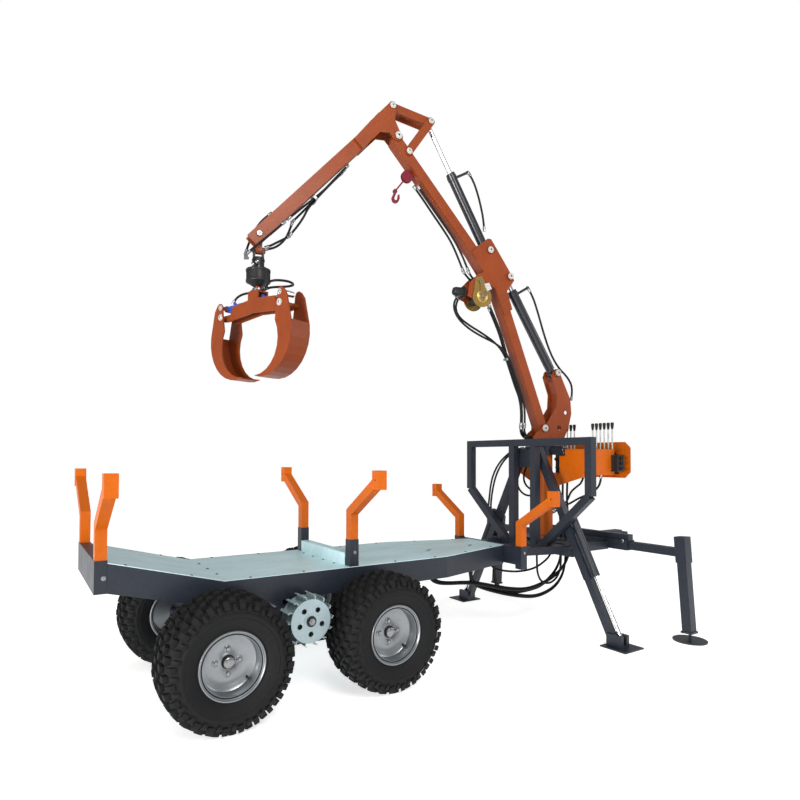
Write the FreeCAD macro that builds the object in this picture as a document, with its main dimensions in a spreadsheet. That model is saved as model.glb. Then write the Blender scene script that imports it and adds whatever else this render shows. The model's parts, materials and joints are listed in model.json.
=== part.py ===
"""Timber trailer with a loading crane, for a quad bike or a small tractor.

Millimetres and degrees, +Z up, +X towards the towing vehicle, +Y to the left.
Distances called "ahead" are measured forward from the bogie pivots, and the
whole model is then moved so that its origin is the centre of its box on the
ground.  Crane pieces are drawn in the crane's own upright plane, where "out"
is the distance from the column's axis and "up" the height above the ground.
"""
import FreeCAD
import Part
import math
import os
import re

import Sketcher

SIZES = {
    # where the origin lies, ahead of the bogie pivots
    "origin_ahead": 1055.25,
    # running gear
    "axle_spread": 790,
    "pivot_height": 376,
    "wheel_track_half": 453,
    "tyre_radius": 279.5,
    "tyre_width": 254,
    "tyre_facets": 26,
    "tyre_crown_radius": 268,
    "tyre_crown_half": 84,
    "tyre_shoulder_radius": 252,
    "tyre_shoulder_half": 112,
    "tyre_flank_radius": 205,
    "lug_root": 260.5,
    "lug_length": 32,
    "lug_inner": 8,
    "lug_width": 38,
    "lug_pitch": 50,
    "rim_radius": 133,
    "rim_width": 212,
    "rim_seat_radius": 122,
    "rim_flange": 8,
    "rim_wall": 6,
    "disc_inset": 75,
    "disc_thickness": 10,
    "hub_radius": 46,
    "hub_length": 60,
    "cap_radius": 25,
    "cap_length": 22,
    "stub_radius": 20,
    "shaft_radius": 25,
    "running_gap": 0.05,
    "seat_gap": 0.3,
    "beam_inner": 262,
    "beam_thickness": 50,
    "beam_boss_radius": 52,
    "beam_depth": 92,
    "roller_face": 450,
    "roller_width": 104,
    "roller_disc_radius": 98,
    "roller_disc": 6,
    "paddle_radius": 120,
    "paddle_inner": 70,
    "paddle_thickness": 6,
    "roller_hub_radius": 40,
    "hanger_thickness": 22,
    "hanger_half": 55,
    "hanger_clearance": 4,
    "shaft_end": 6,
    # bed
    "rail_outer": 312,
    "rail_width": 50,
    "rail_top": 567,
    "rail_depth": 115,
    "bed_kink": -353,
    "bed_slope": 14.4,
    "rear_face": -877,
    "stake_pocket": 49,
    "rear_beam_top": 702,
    "rear_beam_depth": 132,
    "rail_straight_end": 906,
    "front_bolster": 1490,
    "front_bolster_width": 50,
    "front_rail_outer": 160,
    "front_pocket_top": 575,
    "front_pocket_bottom": 436,
    "front_beam_depth": 107,
    "pocket_outer": 309,
    "pocket_wall": 1.7,
    "pocket_floor": 20,
    "deck_thickness": 3,
    "middle_bolster": 285,
    "middle_beam_height": 38,
    "middle_pocket_top": 704,
    "cross_tube": 60,
    "cross_tube_ahead": 760,
    # stakes
    "stake_size": 45,
    "stake_bend_rise": 136,
    "stake_slant": 57,
    "stake_reach": 251,
    "stake_box_size": 50,
    "stake_box_height": 90,
    "stake_rise": 350,
    "stake_hole_radius": 5,
    # headboard
    "headboard_gap": 15,
    "headboard_tube": 48,
    "headboard_top": 1248,
    "headboard_half": 557,
    "headboard_bend": 885,
    "headboard_foot_half": 150,
    "headboard_base_top": 540,
    "headboard_upright": 97,
    # frame ahead of the bed
    "side_tube_bottom": 493,
    "side_tube_depth": 52,
    "side_tube_width": 50,
    "side_tube_outer": 292,
    "side_tube_start": 180,
    "splay_end": 1960,
    "brace_step": 5,
    "brace_width": 90,
    "brace_bottom": 483,
    "brace_depth": 57,
    "column_ahead": 2062,
    "cradle_half": 70,
    "base_plate_half": 92,
    "base_plate_thickness": 12,
    "outrigger_ahead": 2400,
    "outrigger_width": 80,
    "outrigger_bottom": 500,
    "outrigger_depth": 66,
    "outrigger_half": 434,
    "outrigger_wall": 6,
    "stiffener_height": 38,
    "stiffener_width": 50,
    # drawbar
    "drawbar_size": 60,
    "drawbar_end": 2900,
    "eye_ahead": 2950,
    "eye_radius": 20,
    "eye_rim": 18,
    "eye_height": 530,
    "eye_thickness": 25,
    "drawbar_flange": 10,
    "drawbar_flange_half": 55,
    # stabiliser frame
    "leg_lean": 26.4,
    "leg_foot": 650,
    "tie_length": 66.7,
    "leg_tube": 50,
    "leg_bore": 45,
    "leg_size": 44,
    "leg_top": 1180,
    "leg_tube_end": 365,
    "leg_inner_top": 690,
    "leg_inner_end": 30,
    "cheek_thickness": 6,
    "cheek_half": 112,
    "cheek_height": 125,
    "ram_offset": 58,
    "ram_radius": 22.5,
    "ram_bore": 17,
    "ram_rod": 11,
    "ram_top": 705,
    "foot_length": 178,
    "foot_width": 168,
    "foot_thickness": 8,
    "foot_shift": 39,
    "shoe_height": 66,
    "shoe_half": 38,
    "shoe_reach": 62,
    # outrigger arms and jack legs
    "arm_size": 52,
    "arm_inner": 330,
    "post_lean": 3.9,
    "post_foot": 826,
    "post_size": 68,
    "post_bore": 59,
    "post_top": 632,
    "post_bottom": 472,
    "jack_size": 58,
    "jack_end": 46,
    "jack_collar": 70,
    "jack_collar_height": 12,
    "jack_screw": 8,
    "jack_foot_radius": 96,
    "jack_foot_thickness": 8,
    # crane column, slewing housing and console
    "column_radius": 50,
    "column_top": 1141,
    "flange_radius": 77,
    "flange_thickness": 15,
    "housing_radius": 70,
    "housing_top": 1236,
    "rack_radius": 32,
    "rack_half": 170,
    "console_plate": 6,
    "console_top": 1180,
    "console_floor": 1011,
    "console_near": 365,
    "console_far": 227,
    "gusset_bottom": 915,
    "panel_start": 127,
    "side_wall_end": 2329,
    "front_wall": 2396,
    "front_wall_near": 438,
    "front_wall_far": 130,
    "front_wall_top": 1231,
    "front_wall_bottom": 985,
    "front_wall_chamfer": 40,
    "valve_ahead": 2330,
    "valve_half": 38,
    "valve_bottom": 1030,
    "valve_top": 1160,
    "lever_first": 85,
    "lever_pitch": 31,
    "lever_radius": 4,
    "lever_top": 1365,
    "knob_radius": 11,
    "knob_height": 34,
    # crane pins, out from the column and up from the ground
    "crane_swing": 12,
    "boom_pin_out": 45,
    "boom_pin_up": 1328,
    "knee_out": 410,
    "knee_up": 2303,
    "elbow_out": 1156,
    "elbow_up": 3188,
    "elbow_inset": 17,
    "lift_foot_out": -64,
    "lift_foot_up": 1722,
    "lift_eye_out": 324,
    "lift_eye_up": 2366,
    "fold_foot_out": 479,
    "fold_foot_up": 2531,
    "link_pin_out": 1082,
    "link_pin_up": 3099,
    "crank_pin_out": 925,
    "crank_pin_up": 3329,
    "tail_pin_out": 1197,
    "tail_pin_up": 3376,
    "tip_pin_out": 2038,
    "tip_pin_up": 2436,
    "pin_radius": 15,
    "boss_radius": 27,
    "boss_length": 12,
    # kingpost
    "king_inner": 44,
    "king_plate": 9,
    "king_base_radius": 75,
    "king_base_top": 1250,
    # boom
    "boom_width": 84,
    "boom_depth": 64,
    "boom_tail": 60,
    "knee_plate": 7,
    # jib
    "jib_line_out": 134,
    "jib_line_up": 52,
    "jib_tube_start": 224,
    "jib_width": 66,
    "jib_depth": 80,
    "jib_head_inner": 44,
    "jib_head_plate": 7,
    "jib_nose": 60,
    "jib_fork": 22,
    # links
    "link_half_depth": 26,
    "link_plate": 8,
    "upper_link_outer": 40,
    "lower_link_inner": 44,
    # crane cylinders
    "lift_barrel_radius": 31,
    "lift_barrel_end": 655,
    "lift_rod_radius": 16,
    "fold_barrel_radius": 30,
    "fold_barrel_end": 570,
    "fold_rod_radius": 14,
    "barrel_start": 34,
    "barrel_wall": 5,
    "gland_length": 28,
    "lift_rod_inset": 60,
    "fold_rod_inset": 215,
    "eye_half": 18,
    "fitting_inset": 34,
    "fitting_reach": 132,
    "fitting_radius": 9,
    "fitting_ball": 12,
    # winch, snatch block and hook
    "winch_start": 505,
    "winch_end": 590,
    "winch_up": 2222,
    "winch_radius": 57,
    "winch_flange": 8,
    "winch_drum": 43,
    "winch_plate": 6,
    "motor_radius": 28,
    "motor_end": 735,
    "pulley_along": 929,
    "pulley_drop": 88,
    "pulley_radius": 34,
    "pulley_half": 9,
    "rope_radius": 5,
    "hook_out": 1160,
    "hook_up": 2846,
    "hook_half": 8,
    # hoses
    "hose_radius": 7,
    # grapple
    "hanger_drop": 94,
    "hanger_half_width": 20,
    "hanger_cheek": 10,
    "rotator_neck_radius": 35,
    "rotator_radius": 69,
    "rotator_neck_drop": 42,
    "rotator_neck": 72,
    "rotator_ring": 75,
    "rotator_cone": 25,
    "grapple_turn": 17.5,
    "grapple_shaft": 31,
    "grapple_shaft_radius": 20,
    "grapple_neck_half": 47,
    "grapple_cap": 12,
    "grapple_cheek_inner": 31,
    "grapple_cheek": 8,
    "jaw_pin": 275,
    "jaw_pin_drop": 153,
    "ram_pin_rise": 59,
    "jaw_plate_inner": 62,
    "jaw_plate": 8,
    "jaw_pin_radius": 12,
    "shell_thickness": 8,
    "shell_radius": 250,
    "shell_inset": 150,
    "throat_radius": 198,
    "throat_inset": 210,
    "throat_drop": 190,
    "grapple_barrel_radius": 24,
    "grapple_barrel_back": 70,
    "grapple_rod_radius": 12,
}

doc = FreeCAD.newDocument("timber_trailer")
sheet = doc.addObject("Spreadsheet::Sheet", "sizes")
for row, (alias, number) in enumerate(SIZES.items(), start=1):
    sheet.set("A%d" % row, alias)
    sheet.set("B%d" % row, str(number))
    sheet.setAlias("B%d" % row, alias)
doc.recompute()

# Hose routes as (out, across, up) from the pin each is measured from
JIB_HOSES = [
    [
        (-548, 22, 509), (-478, 24, 429), (-405, 22, 338), (-338, 28, 270), (-248, 38, 186),
        (-170, 47, 108),
    ],
    [
        (-533, 4, 489), (-463, 5, 411), (-393, 4, 326), (-341, 6, 262), (-298, 8, 206),
        (-270, 10, 144), (-227, 12, 76), (-186, 12, 22),
    ],
    [
        (-518, -14, 472), (-448, -16, 394), (-383, -14, 316), (-326, -18, 254), (-264, -24, 184),
        (-210, -28, 124),
    ],
]
HANGER_HOSES = [
    [
        (-143, 53, 80), (-88, 56, 22), (-30, 60, -34), (24, 62, -86), (72, 60, -134),
    ],
    [
        (-80, -52, 164), (-39, -52, 129), (5, -53, 68), (46, -56, -16), (66, -60, -91),
    ],
]
BOOM_HOSES = [
    [
        (590, 14, 594), (530, 15, 523), (465, 14, 445), (390, 13, 359), (319, 14, 270),
        (257, 15, 167), (220, 16, 82),
    ],
    [
        (606, -16, 603), (545, -17, 535), (480, -16, 454), (405, -15, 365), (334, -16, 277),
        (280, -17, 177), (240, -18, 89),
    ],
    [
        (52, 10, -135), (7, 11, -222), (-31, 10, -300), (-65, 10, -398), (-92, 9, -488),
        (-123, 10, -568), (-156, 11, -648), (-188, 10, -723), (-210, 9, -803), (-210, 8, -883),
        (-205, 8, -958),
    ],
    [
        (36, -20, -153), (-6, -20, -237), (-46, -19, -323), (-80, -20, -423), (-110, -21, -513),
        (-144, -22, -601), (-174, -22, -681), (-205, -21, -751), (-230, -20, -823),
        (-234, -20, -898), (-228, -20, -968),
    ],
]
FOLD_HOSES = [
    [
        (138, 8, 521), (113, 20, 474), (81, 26, 382), (55, 30, 281), (41, 31, 209), (36, 34, 141),
    ],
]
LIFT_HOSES = [
    [
        (200, 5, 586), (172, 10, 544), (126, 12, 418), (78, 12, 273), (19, 8, 140), (-48, 6, 46),
        (-134, 4, -20), (-178, 4, -97), (-161, 4, -177),
    ],
]

# Stations reckoned from other sizes
LEG_AHEAD = "(column_ahead - column_radius - seat_gap - tie_length - leg_tube / 2)"
HEADBOARD_AHEAD = LEG_AHEAD + " - leg_tube / 2 - cheek_thickness - headboard_gap - headboard_tube / 2"
BRACE_AHEAD = LEG_AHEAD + " - leg_tube / 2 + brace_step"
HANGER_PIN = "(tip_pin_up - hanger_drop)"
ROTATOR_TOP = "(%s - rotator_neck_drop)" % HANGER_PIN
RING_TOP = "(%s - rotator_neck)" % ROTATOR_TOP
RING_BOTTOM = "(%s - rotator_ring)" % RING_TOP
ROTATOR_BOTTOM = "(%s - rotator_cone)" % RING_BOTTOM
JAW_PIN_UP = "(%s - jaw_pin_drop)" % ROTATOR_BOTTOM
RAM_PIN_UP = "(%s + ram_pin_rise)" % JAW_PIN_UP

WORD = re.compile(r"[a-z][a-z0-9_]*")
PLANES = {"XY": ("XY_Plane", "1"), "XZ": ("XZ_Plane", "-1"), "YZ": ("YZ_Plane", "1")}
UNTURNED = "rotation(vector(0; 0; 1); 0)"
ALONG = {
    "X": "rotation(vector(0; 1; 0); 90)",
    "Y": "rotation(vector(1; 0; 0); -90)",
    "Z": UNTURNED,
}
PARTS = []


def link(text):
    """Turn each size's name in an expression into a reference to its cell."""
    return WORD.sub(lambda m: "sizes." + m.group() if m.group() in SIZES else m.group(), str(text))


def value(text):
    """The number an expression has now."""
    return float(sheet.evalExpression(link(text)))


def make(kind, **links):
    """Add an object whose properties are bound to expressions."""
    thing = doc.addObject(kind, "piece")
    for name, text in links.items():
        thing.setExpression(name, link(text))
    return thing


def put(thing, x, y, z, turn=UNTURNED):
    """Bind an object's placement."""
    thing.setExpression("Placement", link("placement(vector(%s; %s; %s); %s)" % (x, y, z, turn)))
    return thing


def block(x, y, z):
    """A box between a low and a high limit along each axis."""
    spans = ["(%s) - (%s)" % (high, low) for low, high in (x, y, z)]
    thing = make("Part::Box", Length=spans[0], Width=spans[1], Height=spans[2])
    return put(thing, x[0], y[0], z[0])


def rod(axis, centre, low, high, radius):
    """A cylinder along an axis; centre holds its other two coordinates in order."""
    thing = make("Part::Cylinder", Radius=radius, Height="(%s) - (%s)" % (high, low))
    spot = list(centre)
    spot.insert("XYZ".index(axis), low)
    return put(thing, *spot, turn=ALONG[axis])


def beam(plane, start, end, depth, across):
    """A straight bar of square corners from start to end in a plane."""
    run = "(%s) - (%s)" % (end[0], start[0])
    rise = "(%s) - (%s)" % (end[1], start[1])
    tilt = "atan2(%s; %s)" % (rise, run)
    thing = make(
        "Part::Box",
        Length="sqrt((%s)^2 + (%s)^2)" % (run, rise),
        Width="(%s) - (%s)" % (across[1], across[0]),
        Height=depth,
    )
    first = "(%s) + sin(%s) * (%s) / 2" % (start[0], tilt, depth)
    second = "(%s) - cos(%s) * (%s) / 2" % (start[1], tilt, depth)
    if plane == "XZ":
        return put(thing, first, across[0], second, "rotation(vector(0; 1; 0); -(%s))" % tilt)
    turn = "rotation(vector(1; 0; 0); %s) * rotation(vector(0; 0; 1); 90)" % tilt
    return put(thing, across[1], first, second, turn)


def sketch(body, plane, outline, offset="0"):
    """A closed outline of straight lines, every corner bound to two expressions."""
    role, sense = PLANES[plane]
    drawing = body.newObject("Sketcher::SketchObject", "outline")
    face = [item for item in body.Origin.OriginFeatures if item.Role == role][0]
    drawing.AttachmentSupport = [(face, "")]
    drawing.MapMode = "FlatFace"
    drawing.setExpression("AttachmentOffset.Base.z", link("%s * (%s)" % (sense, offset)))
    corners = [FreeCAD.Vector(value(across), value(up), 0) for across, up in outline]
    count = len(corners)
    for index, corner in enumerate(corners):
        drawing.addGeometry(Part.LineSegment(corner, corners[(index + 1) % count]))
    for index in range(count):
        drawing.addConstraint(Sketcher.Constraint("Coincident", index, 2, (index + 1) % count, 1))
    for index, (across, up) in enumerate(outline):
        corner = corners[index]
        for kind, text, number in (("DistanceX", across, corner.x), ("DistanceY", up, corner.y)):
            place = drawing.addConstraint(Sketcher.Constraint(kind, -1, 1, index, 1, number))
            drawing.setExpression("Constraints[%d]" % place, link(text))
    return drawing


def plate(plane, outline, low, high):
    """An outline padded between two limits along the plane's normal axis."""
    body = doc.addObject("PartDesign::Body", "plate")
    drawing = sketch(body, plane, outline, "((%s) + (%s)) / 2" % (low, high))
    pad = body.newObject("PartDesign::Pad", "pad")
    pad.Profile = drawing
    pad.Midplane = True
    pad.setExpression("Length", link("(%s) - (%s)" % (high, low)))
    return body


def turned(outline):
    """An outline of (along Y, radius) points revolved about the Y axis."""
    body = doc.addObject("PartDesign::Body", "turned")
    drawing = sketch(body, "YZ", outline)
    whole = body.newObject("PartDesign::Revolution", "revolution")
    whole.Profile = drawing
    whole.ReferenceAxis = (drawing, ["H_Axis"])
    whole.Angle = 360
    return body


def join(*pieces):
    """Fuse pieces into one."""
    whole = doc.addObject("Part::MultiFuse", "joined")
    whole.Shapes = list(pieces)
    whole.Refine = True
    return whole


def carve(base, *tools):
    """Cut tools out of a base."""
    whole = doc.addObject("Part::Cut", "carved")
    whole.Base = base
    whole.Tool = tools[0] if len(tools) == 1 else join(*tools)
    whole.Refine = True
    return whole


def gather(*pieces):
    """Keep pieces that don't touch in one part."""
    whole = doc.addObject("Part::Compound", "gathered")
    whole.Links = list(pieces)
    return whole


def finish(thing, name, x="0", y="0", z="0", turn=UNTURNED):
    """Name a sub-part and set it in the row's frame."""
    thing.Label = name
    put(thing, "(%s) - origin_ahead" % x, y, z, turn)
    PARTS.append(thing)
    return thing


def both(low, high):
    """The two mirrored spans of a piece that stands off the centre plane."""
    return [(low, high), ("-(%s)" % high, "-(%s)" % low)]


def sided(side, low, high):
    """One of those spans: side is 1 on the left and -1 on the right."""
    return both(low, high)[0 if side > 0 else 1]


SIDES = (("left", 1), ("right", -1))
ENDS = (("front", 1), ("rear", -1))


# ---------------------------------------------------------------- running gear

def faceted_ring(profile, facets):
    """A ring about the Y axis with flat facets, one of them facing down, from (along Y, radius) corners."""
    stretch = 1 / math.cos(math.pi / facets)
    rings = []
    for step in range(facets):
        angle = math.pi * (2 * step + 1) / facets - math.pi / 2
        rings.append([
            FreeCAD.Vector(radius * stretch * math.cos(angle), across, radius * stretch * math.sin(angle))
            for across, radius in profile
        ])
    count = len(profile)
    faces = []
    for step in range(facets):
        this = rings[step]
        following = rings[(step + 1) % facets]
        for corner in range(count):
            other = (corner + 1) % count
            loop = [this[corner], this[other], following[other], following[corner], this[corner]]
            faces.append(Part.Face(Part.makePolygon(loop)))
    solid = Part.makeSolid(Part.makeShell(faces))
    if solid.Volume < 0:
        solid.reverse()
    thing = doc.addObject("Part::Feature", "ring")
    thing.Shape = solid
    return thing


def tyre():
    """An off-road tyre: a faceted carcass with two staggered rows of lugs either side of its middle."""
    half = value("tyre_width / 2")
    bead = value("rim_width / 2 - rim_flange - seat_gap")
    seat = value("rim_seat_radius + seat_gap")
    rim_edge = value("rim_radius + rim_flange")
    flank = value("tyre_flank_radius")
    shoulder = (value("tyre_shoulder_half"), value("tyre_shoulder_radius"))
    crown = (value("tyre_crown_half"), value("tyre_crown_radius"))
    corners = [(bead, seat), (bead, rim_edge), (half, flank), shoulder, crown]
    profile = [(-across, radius) for across, radius in corners] + corners[::-1]
    facets = int(value("tyre_facets"))
    pieces = [faceted_ring(profile, facets)]
    for step in range(facets):
        angle = 360 * step / facets + 90
        for row in range(2):
            side = 1 if (step + row) % 2 else -1
            inner = "lug_inner + %d * lug_pitch" % row
            low, high = sided(side, inner, "%s + lug_width" % inner)
            lug = make("Part::Box", Length="tyre_radius - lug_root", Width="lug_width", Height="lug_length")
            turn = "rotation(vector(0; 1; 0); %s)" % angle
            root = "(lug_root * cos(%s) - lug_length / 2 * sin(%s))" % (angle, angle)
            rise = "(-lug_root * sin(%s) - lug_length / 2 * cos(%s))" % (angle, angle)
            pieces.append(put(lug, root, low, rise, turn))
    return join(*pieces)


def wheels():
    """Four tyres and rims; each turns on its own stub axle."""
    tread = tyre()
    for side_name, side in SIDES:
        for end_name, end in ENDS:
            spot = ("%d * axle_spread / 2" % end, "%d * wheel_track_half" % side, "tyre_radius")
            finish(gather(tread), "tyre_%s_%s" % (side_name, end_name), *spot)
            finish(rim_and_hub(side), "rim_%s_%s" % (side_name, end_name), *spot)


def rim_and_hub(side):
    """A welded steel rim, dished inwards, with the hub it is bolted to."""
    lip = "rim_width / 2"
    bead = "rim_width / 2 - rim_flange"
    inner = "rim_seat_radius - rim_wall"
    disc = "rim_width / 2 - disc_inset"
    bore = "stub_radius + running_gap"
    outline = [
        ("-(%s)" % lip, inner),
        ("-(%s)" % lip, "rim_radius"),
        ("-(%s)" % bead, "rim_radius"),
        ("-(%s)" % bead, "rim_seat_radius"),
        (bead, "rim_seat_radius"),
        (bead, "rim_radius"),
        (lip, "rim_radius"),
        (lip, inner),
        (disc, inner),
        (disc, bore),
        ("%s - disc_thickness - hub_length" % disc, bore),
        ("%s - disc_thickness - hub_length" % disc, "hub_radius"),
        ("%s - disc_thickness" % disc, "hub_radius"),
        ("%s - disc_thickness" % disc, inner),
    ]
    shell = turned([("%d * (%s)" % (side, across), radius) for across, radius in outline])
    low, high = sided(side, disc, "%s + cap_length" % disc)
    return join(shell, rod("Y", ("0", "0"), low, high, "cap_radius"))


def bogies():
    """Two walking beams, each with a stub axle at both ends."""
    reach = "axle_spread / 2"
    outer = "beam_inner + beam_thickness"
    half = "beam_depth / 2"
    axle = "tyre_radius"
    end = "wheel_track_half + rim_width / 2 - disc_inset - seat_gap"
    for side_name, side in SIDES:
        low, high = sided(side, "beam_inner", outer)
        web = plate("XZ", [
            ("-axle_spread / 2 - 44", "%s - 40" % axle),
            ("-axle_spread / 2 - 44", "%s + 40" % axle),
            ("-46", "pivot_height + 46"),
            ("46", "pivot_height + 46"),
            ("axle_spread / 2 + 44", "%s + 40" % axle),
            ("axle_spread / 2 + 44", "%s - 40" % axle),
            ("150", "%s - %s" % (axle, half)),
            ("-150", "%s - %s" % (axle, half)),
        ], low, high)
        boss = rod("Y", ("0", "pivot_height"), low, high, "beam_boss_radius")
        stubs = []
        for sign in (1, -1):
            inner, far = sided(side, outer, end)
            stubs.append(rod("Y", ("%d * %s" % (sign, reach), axle), inner, far, "stub_radius"))
            inner, far = sided(side, outer, "%s + 14" % outer)
            stubs.append(rod("Y", ("%d * %s" % (sign, reach), axle), inner, far, "hub_radius"))
        bore = rod("Y", ("0", "pivot_height"), low, high, "shaft_radius + running_gap")
        finish(carve(join(web, boss, *stubs), bore), "bogie_beam_%s" % side_name)


def rollers():
    """Driven rollers with paddles, one between the two tyres of each side."""
    for side_name, side in SIDES:
        low, high = sided(side, "roller_face - roller_width", "roller_face")
        pieces = [rod("Y", ("0", "0"), low, high, "roller_hub_radius")]
        for near, far in (("roller_face - roller_disc", "roller_face"),
                          ("roller_face - roller_width", "roller_face - roller_width + roller_disc")):
            first, last = sided(side, near, far)
            pieces.append(rod("Y", ("0", "0"), first, last, "roller_disc_radius"))
        for step in range(12):
            paddle = make("Part::Box", Length="paddle_radius - paddle_inner",
                          Width="roller_width", Height="paddle_thickness")
            turn = "rotation(vector(0; 1; 0); %d)" % (30 * step)
            put(paddle, "paddle_inner * cos(%d)" % (30 * step), low,
                "-paddle_inner * sin(%d)" % (30 * step), turn)
            pieces.append(paddle)
        bore = rod("Y", ("0", "0"), low, high, "shaft_radius + running_gap")
        holes = [
            rod("Y", ("58 * cos(%d)" % (72 * step + 18), "58 * sin(%d)" % (72 * step + 18)), low, high, "12")
            for step in range(5)
        ]
        finish(carve(join(*pieces), bore, *holes), "drive_roller_%s" % side_name, z="pivot_height")


# ------------------------------------------------------------------------- bed

def pocket(ahead, width, floor, top, side):
    """The hollow of a stake pocket, to be cut out of its beam."""
    low, high = sided(side, "pocket_outer - pocket_wall - stake_size - 2 * seat_gap",
                      "pocket_outer - pocket_wall")
    middle = "(%s) + (%s) / 2" % (ahead, width)
    half = "stake_size / 2 + seat_gap"
    return block(("%s - (%s)" % (middle, half), "%s + (%s)" % (middle, half)), (low, high),
                 (floor, "%s + 1" % top))


def bed_frame():
    """Side rails, cross members, rear and front bolsters and the bogie shaft's hangers."""
    drop = "(bed_kink - rear_face - stake_pocket) * tan(bed_slope)"
    rear_end = "rear_face + stake_pocket"
    pieces = []
    for low, high in both("rail_outer - rail_width", "rail_outer"):
        pieces.append(plate("XZ", [
            ("rail_straight_end", "rail_top - rail_depth"),
            ("rail_straight_end", "rail_top"),
            ("bed_kink", "rail_top"),
            (rear_end, "rail_top + %s" % drop),
            (rear_end, "rail_top + %s - rail_depth / cos(bed_slope)" % drop),
            ("bed_kink - rail_depth * tan(bed_slope / 2)", "rail_top - rail_depth"),
        ], low, high))
    for side in (1, -1):
        pieces.append(plate("XY", [
            ("rail_straight_end", "%d * rail_outer" % side),
            ("front_bolster", "%d * front_rail_outer" % side),
            ("front_bolster", "%d * (front_rail_outer - rail_width)" % side),
            ("rail_straight_end", "%d * (rail_outer - rail_width)" % side),
        ], "rail_top - rail_depth", "rail_top"))
    inner = ("-(rail_outer - rail_width)", "rail_outer - rail_width")
    outer = ("-pocket_outer", "pocket_outer")
    pieces.append(block(("rear_face", rear_end), outer, ("rear_beam_top - rear_beam_depth", "rear_beam_top")))
    front = ("front_bolster", "front_bolster + front_bolster_width")
    pieces.append(block(front, outer, ("rail_top - front_beam_depth", "rail_top")))
    for low, high in both("pocket_outer - stake_pocket", "pocket_outer"):
        pieces.append(block(front, (low, high), ("front_pocket_bottom", "front_pocket_top")))
    tube = ("rail_top - deck_thickness - cross_tube - 40", "rail_top - deck_thickness - 40")
    for middle in ("0", "cross_tube_ahead"):
        pieces.append(block(("%s - cross_tube / 2" % middle, "%s + cross_tube / 2" % middle), inner, tube))
    hanger = "beam_inner - hanger_clearance"
    for low, high in both("%s - hanger_thickness" % hanger, hanger):
        pieces.append(block(("-hanger_half", "hanger_half"), (low, high), ("pivot_height - 42", tube[0])))
    hollows = [rod("Y", ("0", "pivot_height"), "-(%s) - 1" % hanger, "%s + 1" % hanger,
                   "shaft_radius + running_gap")]
    shaft = rod("Y", ("0", "0"), "-roller_face - shaft_end", "roller_face + shaft_end", "shaft_radius")
    finish(gather(shaft), "bogie_shaft", z="pivot_height")
    for side in (1, -1):
        hollows.append(pocket("rear_face", "stake_pocket", "rear_beam_top - rear_beam_depth + pocket_floor",
                              "rear_beam_top", side))
        hollows.append(pocket("front_bolster", "front_bolster_width", "front_pocket_bottom + pocket_floor",
                              "front_pocket_top", side))
    finish(carve(join(*pieces), *hollows), "bed_frame")


def deck():
    """Galvanised sheet over the rails, bent up towards the rear."""
    top = "rail_top + deck_thickness + seat_gap"
    bottom = "rail_top + seat_gap"
    rear = "rear_face + stake_pocket + seat_gap"
    climb = "(bed_kink - (%s)) * tan(bed_slope)" % rear
    flat = plate("XY", [
        ("bed_kink", "-rail_outer"),
        ("rail_straight_end", "-rail_outer"),
        ("front_bolster", "-front_rail_outer"),
        ("front_bolster", "front_rail_outer"),
        ("rail_straight_end", "rail_outer"),
        ("bed_kink", "rail_outer"),
    ], bottom, top)
    ramp = plate("XZ", [
        ("bed_kink", bottom),
        ("bed_kink", top),
        (rear, "%s + %s" % (top, climb)),
        (rear, "%s + %s" % (bottom, climb)),
    ], "-rail_outer", "rail_outer")
    finish(join(flat, ramp), "deck")


def middle_bolster():
    """Cross beam on the deck with a stake pocket at each end."""
    bottom = "rail_top + deck_thickness + 2 * seat_gap"
    span = ("middle_bolster", "middle_bolster + stake_pocket")
    beam_part = block(span, ("-pocket_outer", "pocket_outer"), (bottom, "%s + middle_beam_height" % bottom))
    sockets = [block(span, limits, (bottom, "middle_pocket_top"))
               for limits in both("pocket_outer - stake_pocket", "pocket_outer")]
    hollows = [pocket("middle_bolster", "stake_pocket", "%s + pocket_floor" % bottom, "middle_pocket_top", side)
               for side in (1, -1)]
    finish(carve(join(beam_part, *sockets), *hollows), "middle_bolster")


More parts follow.
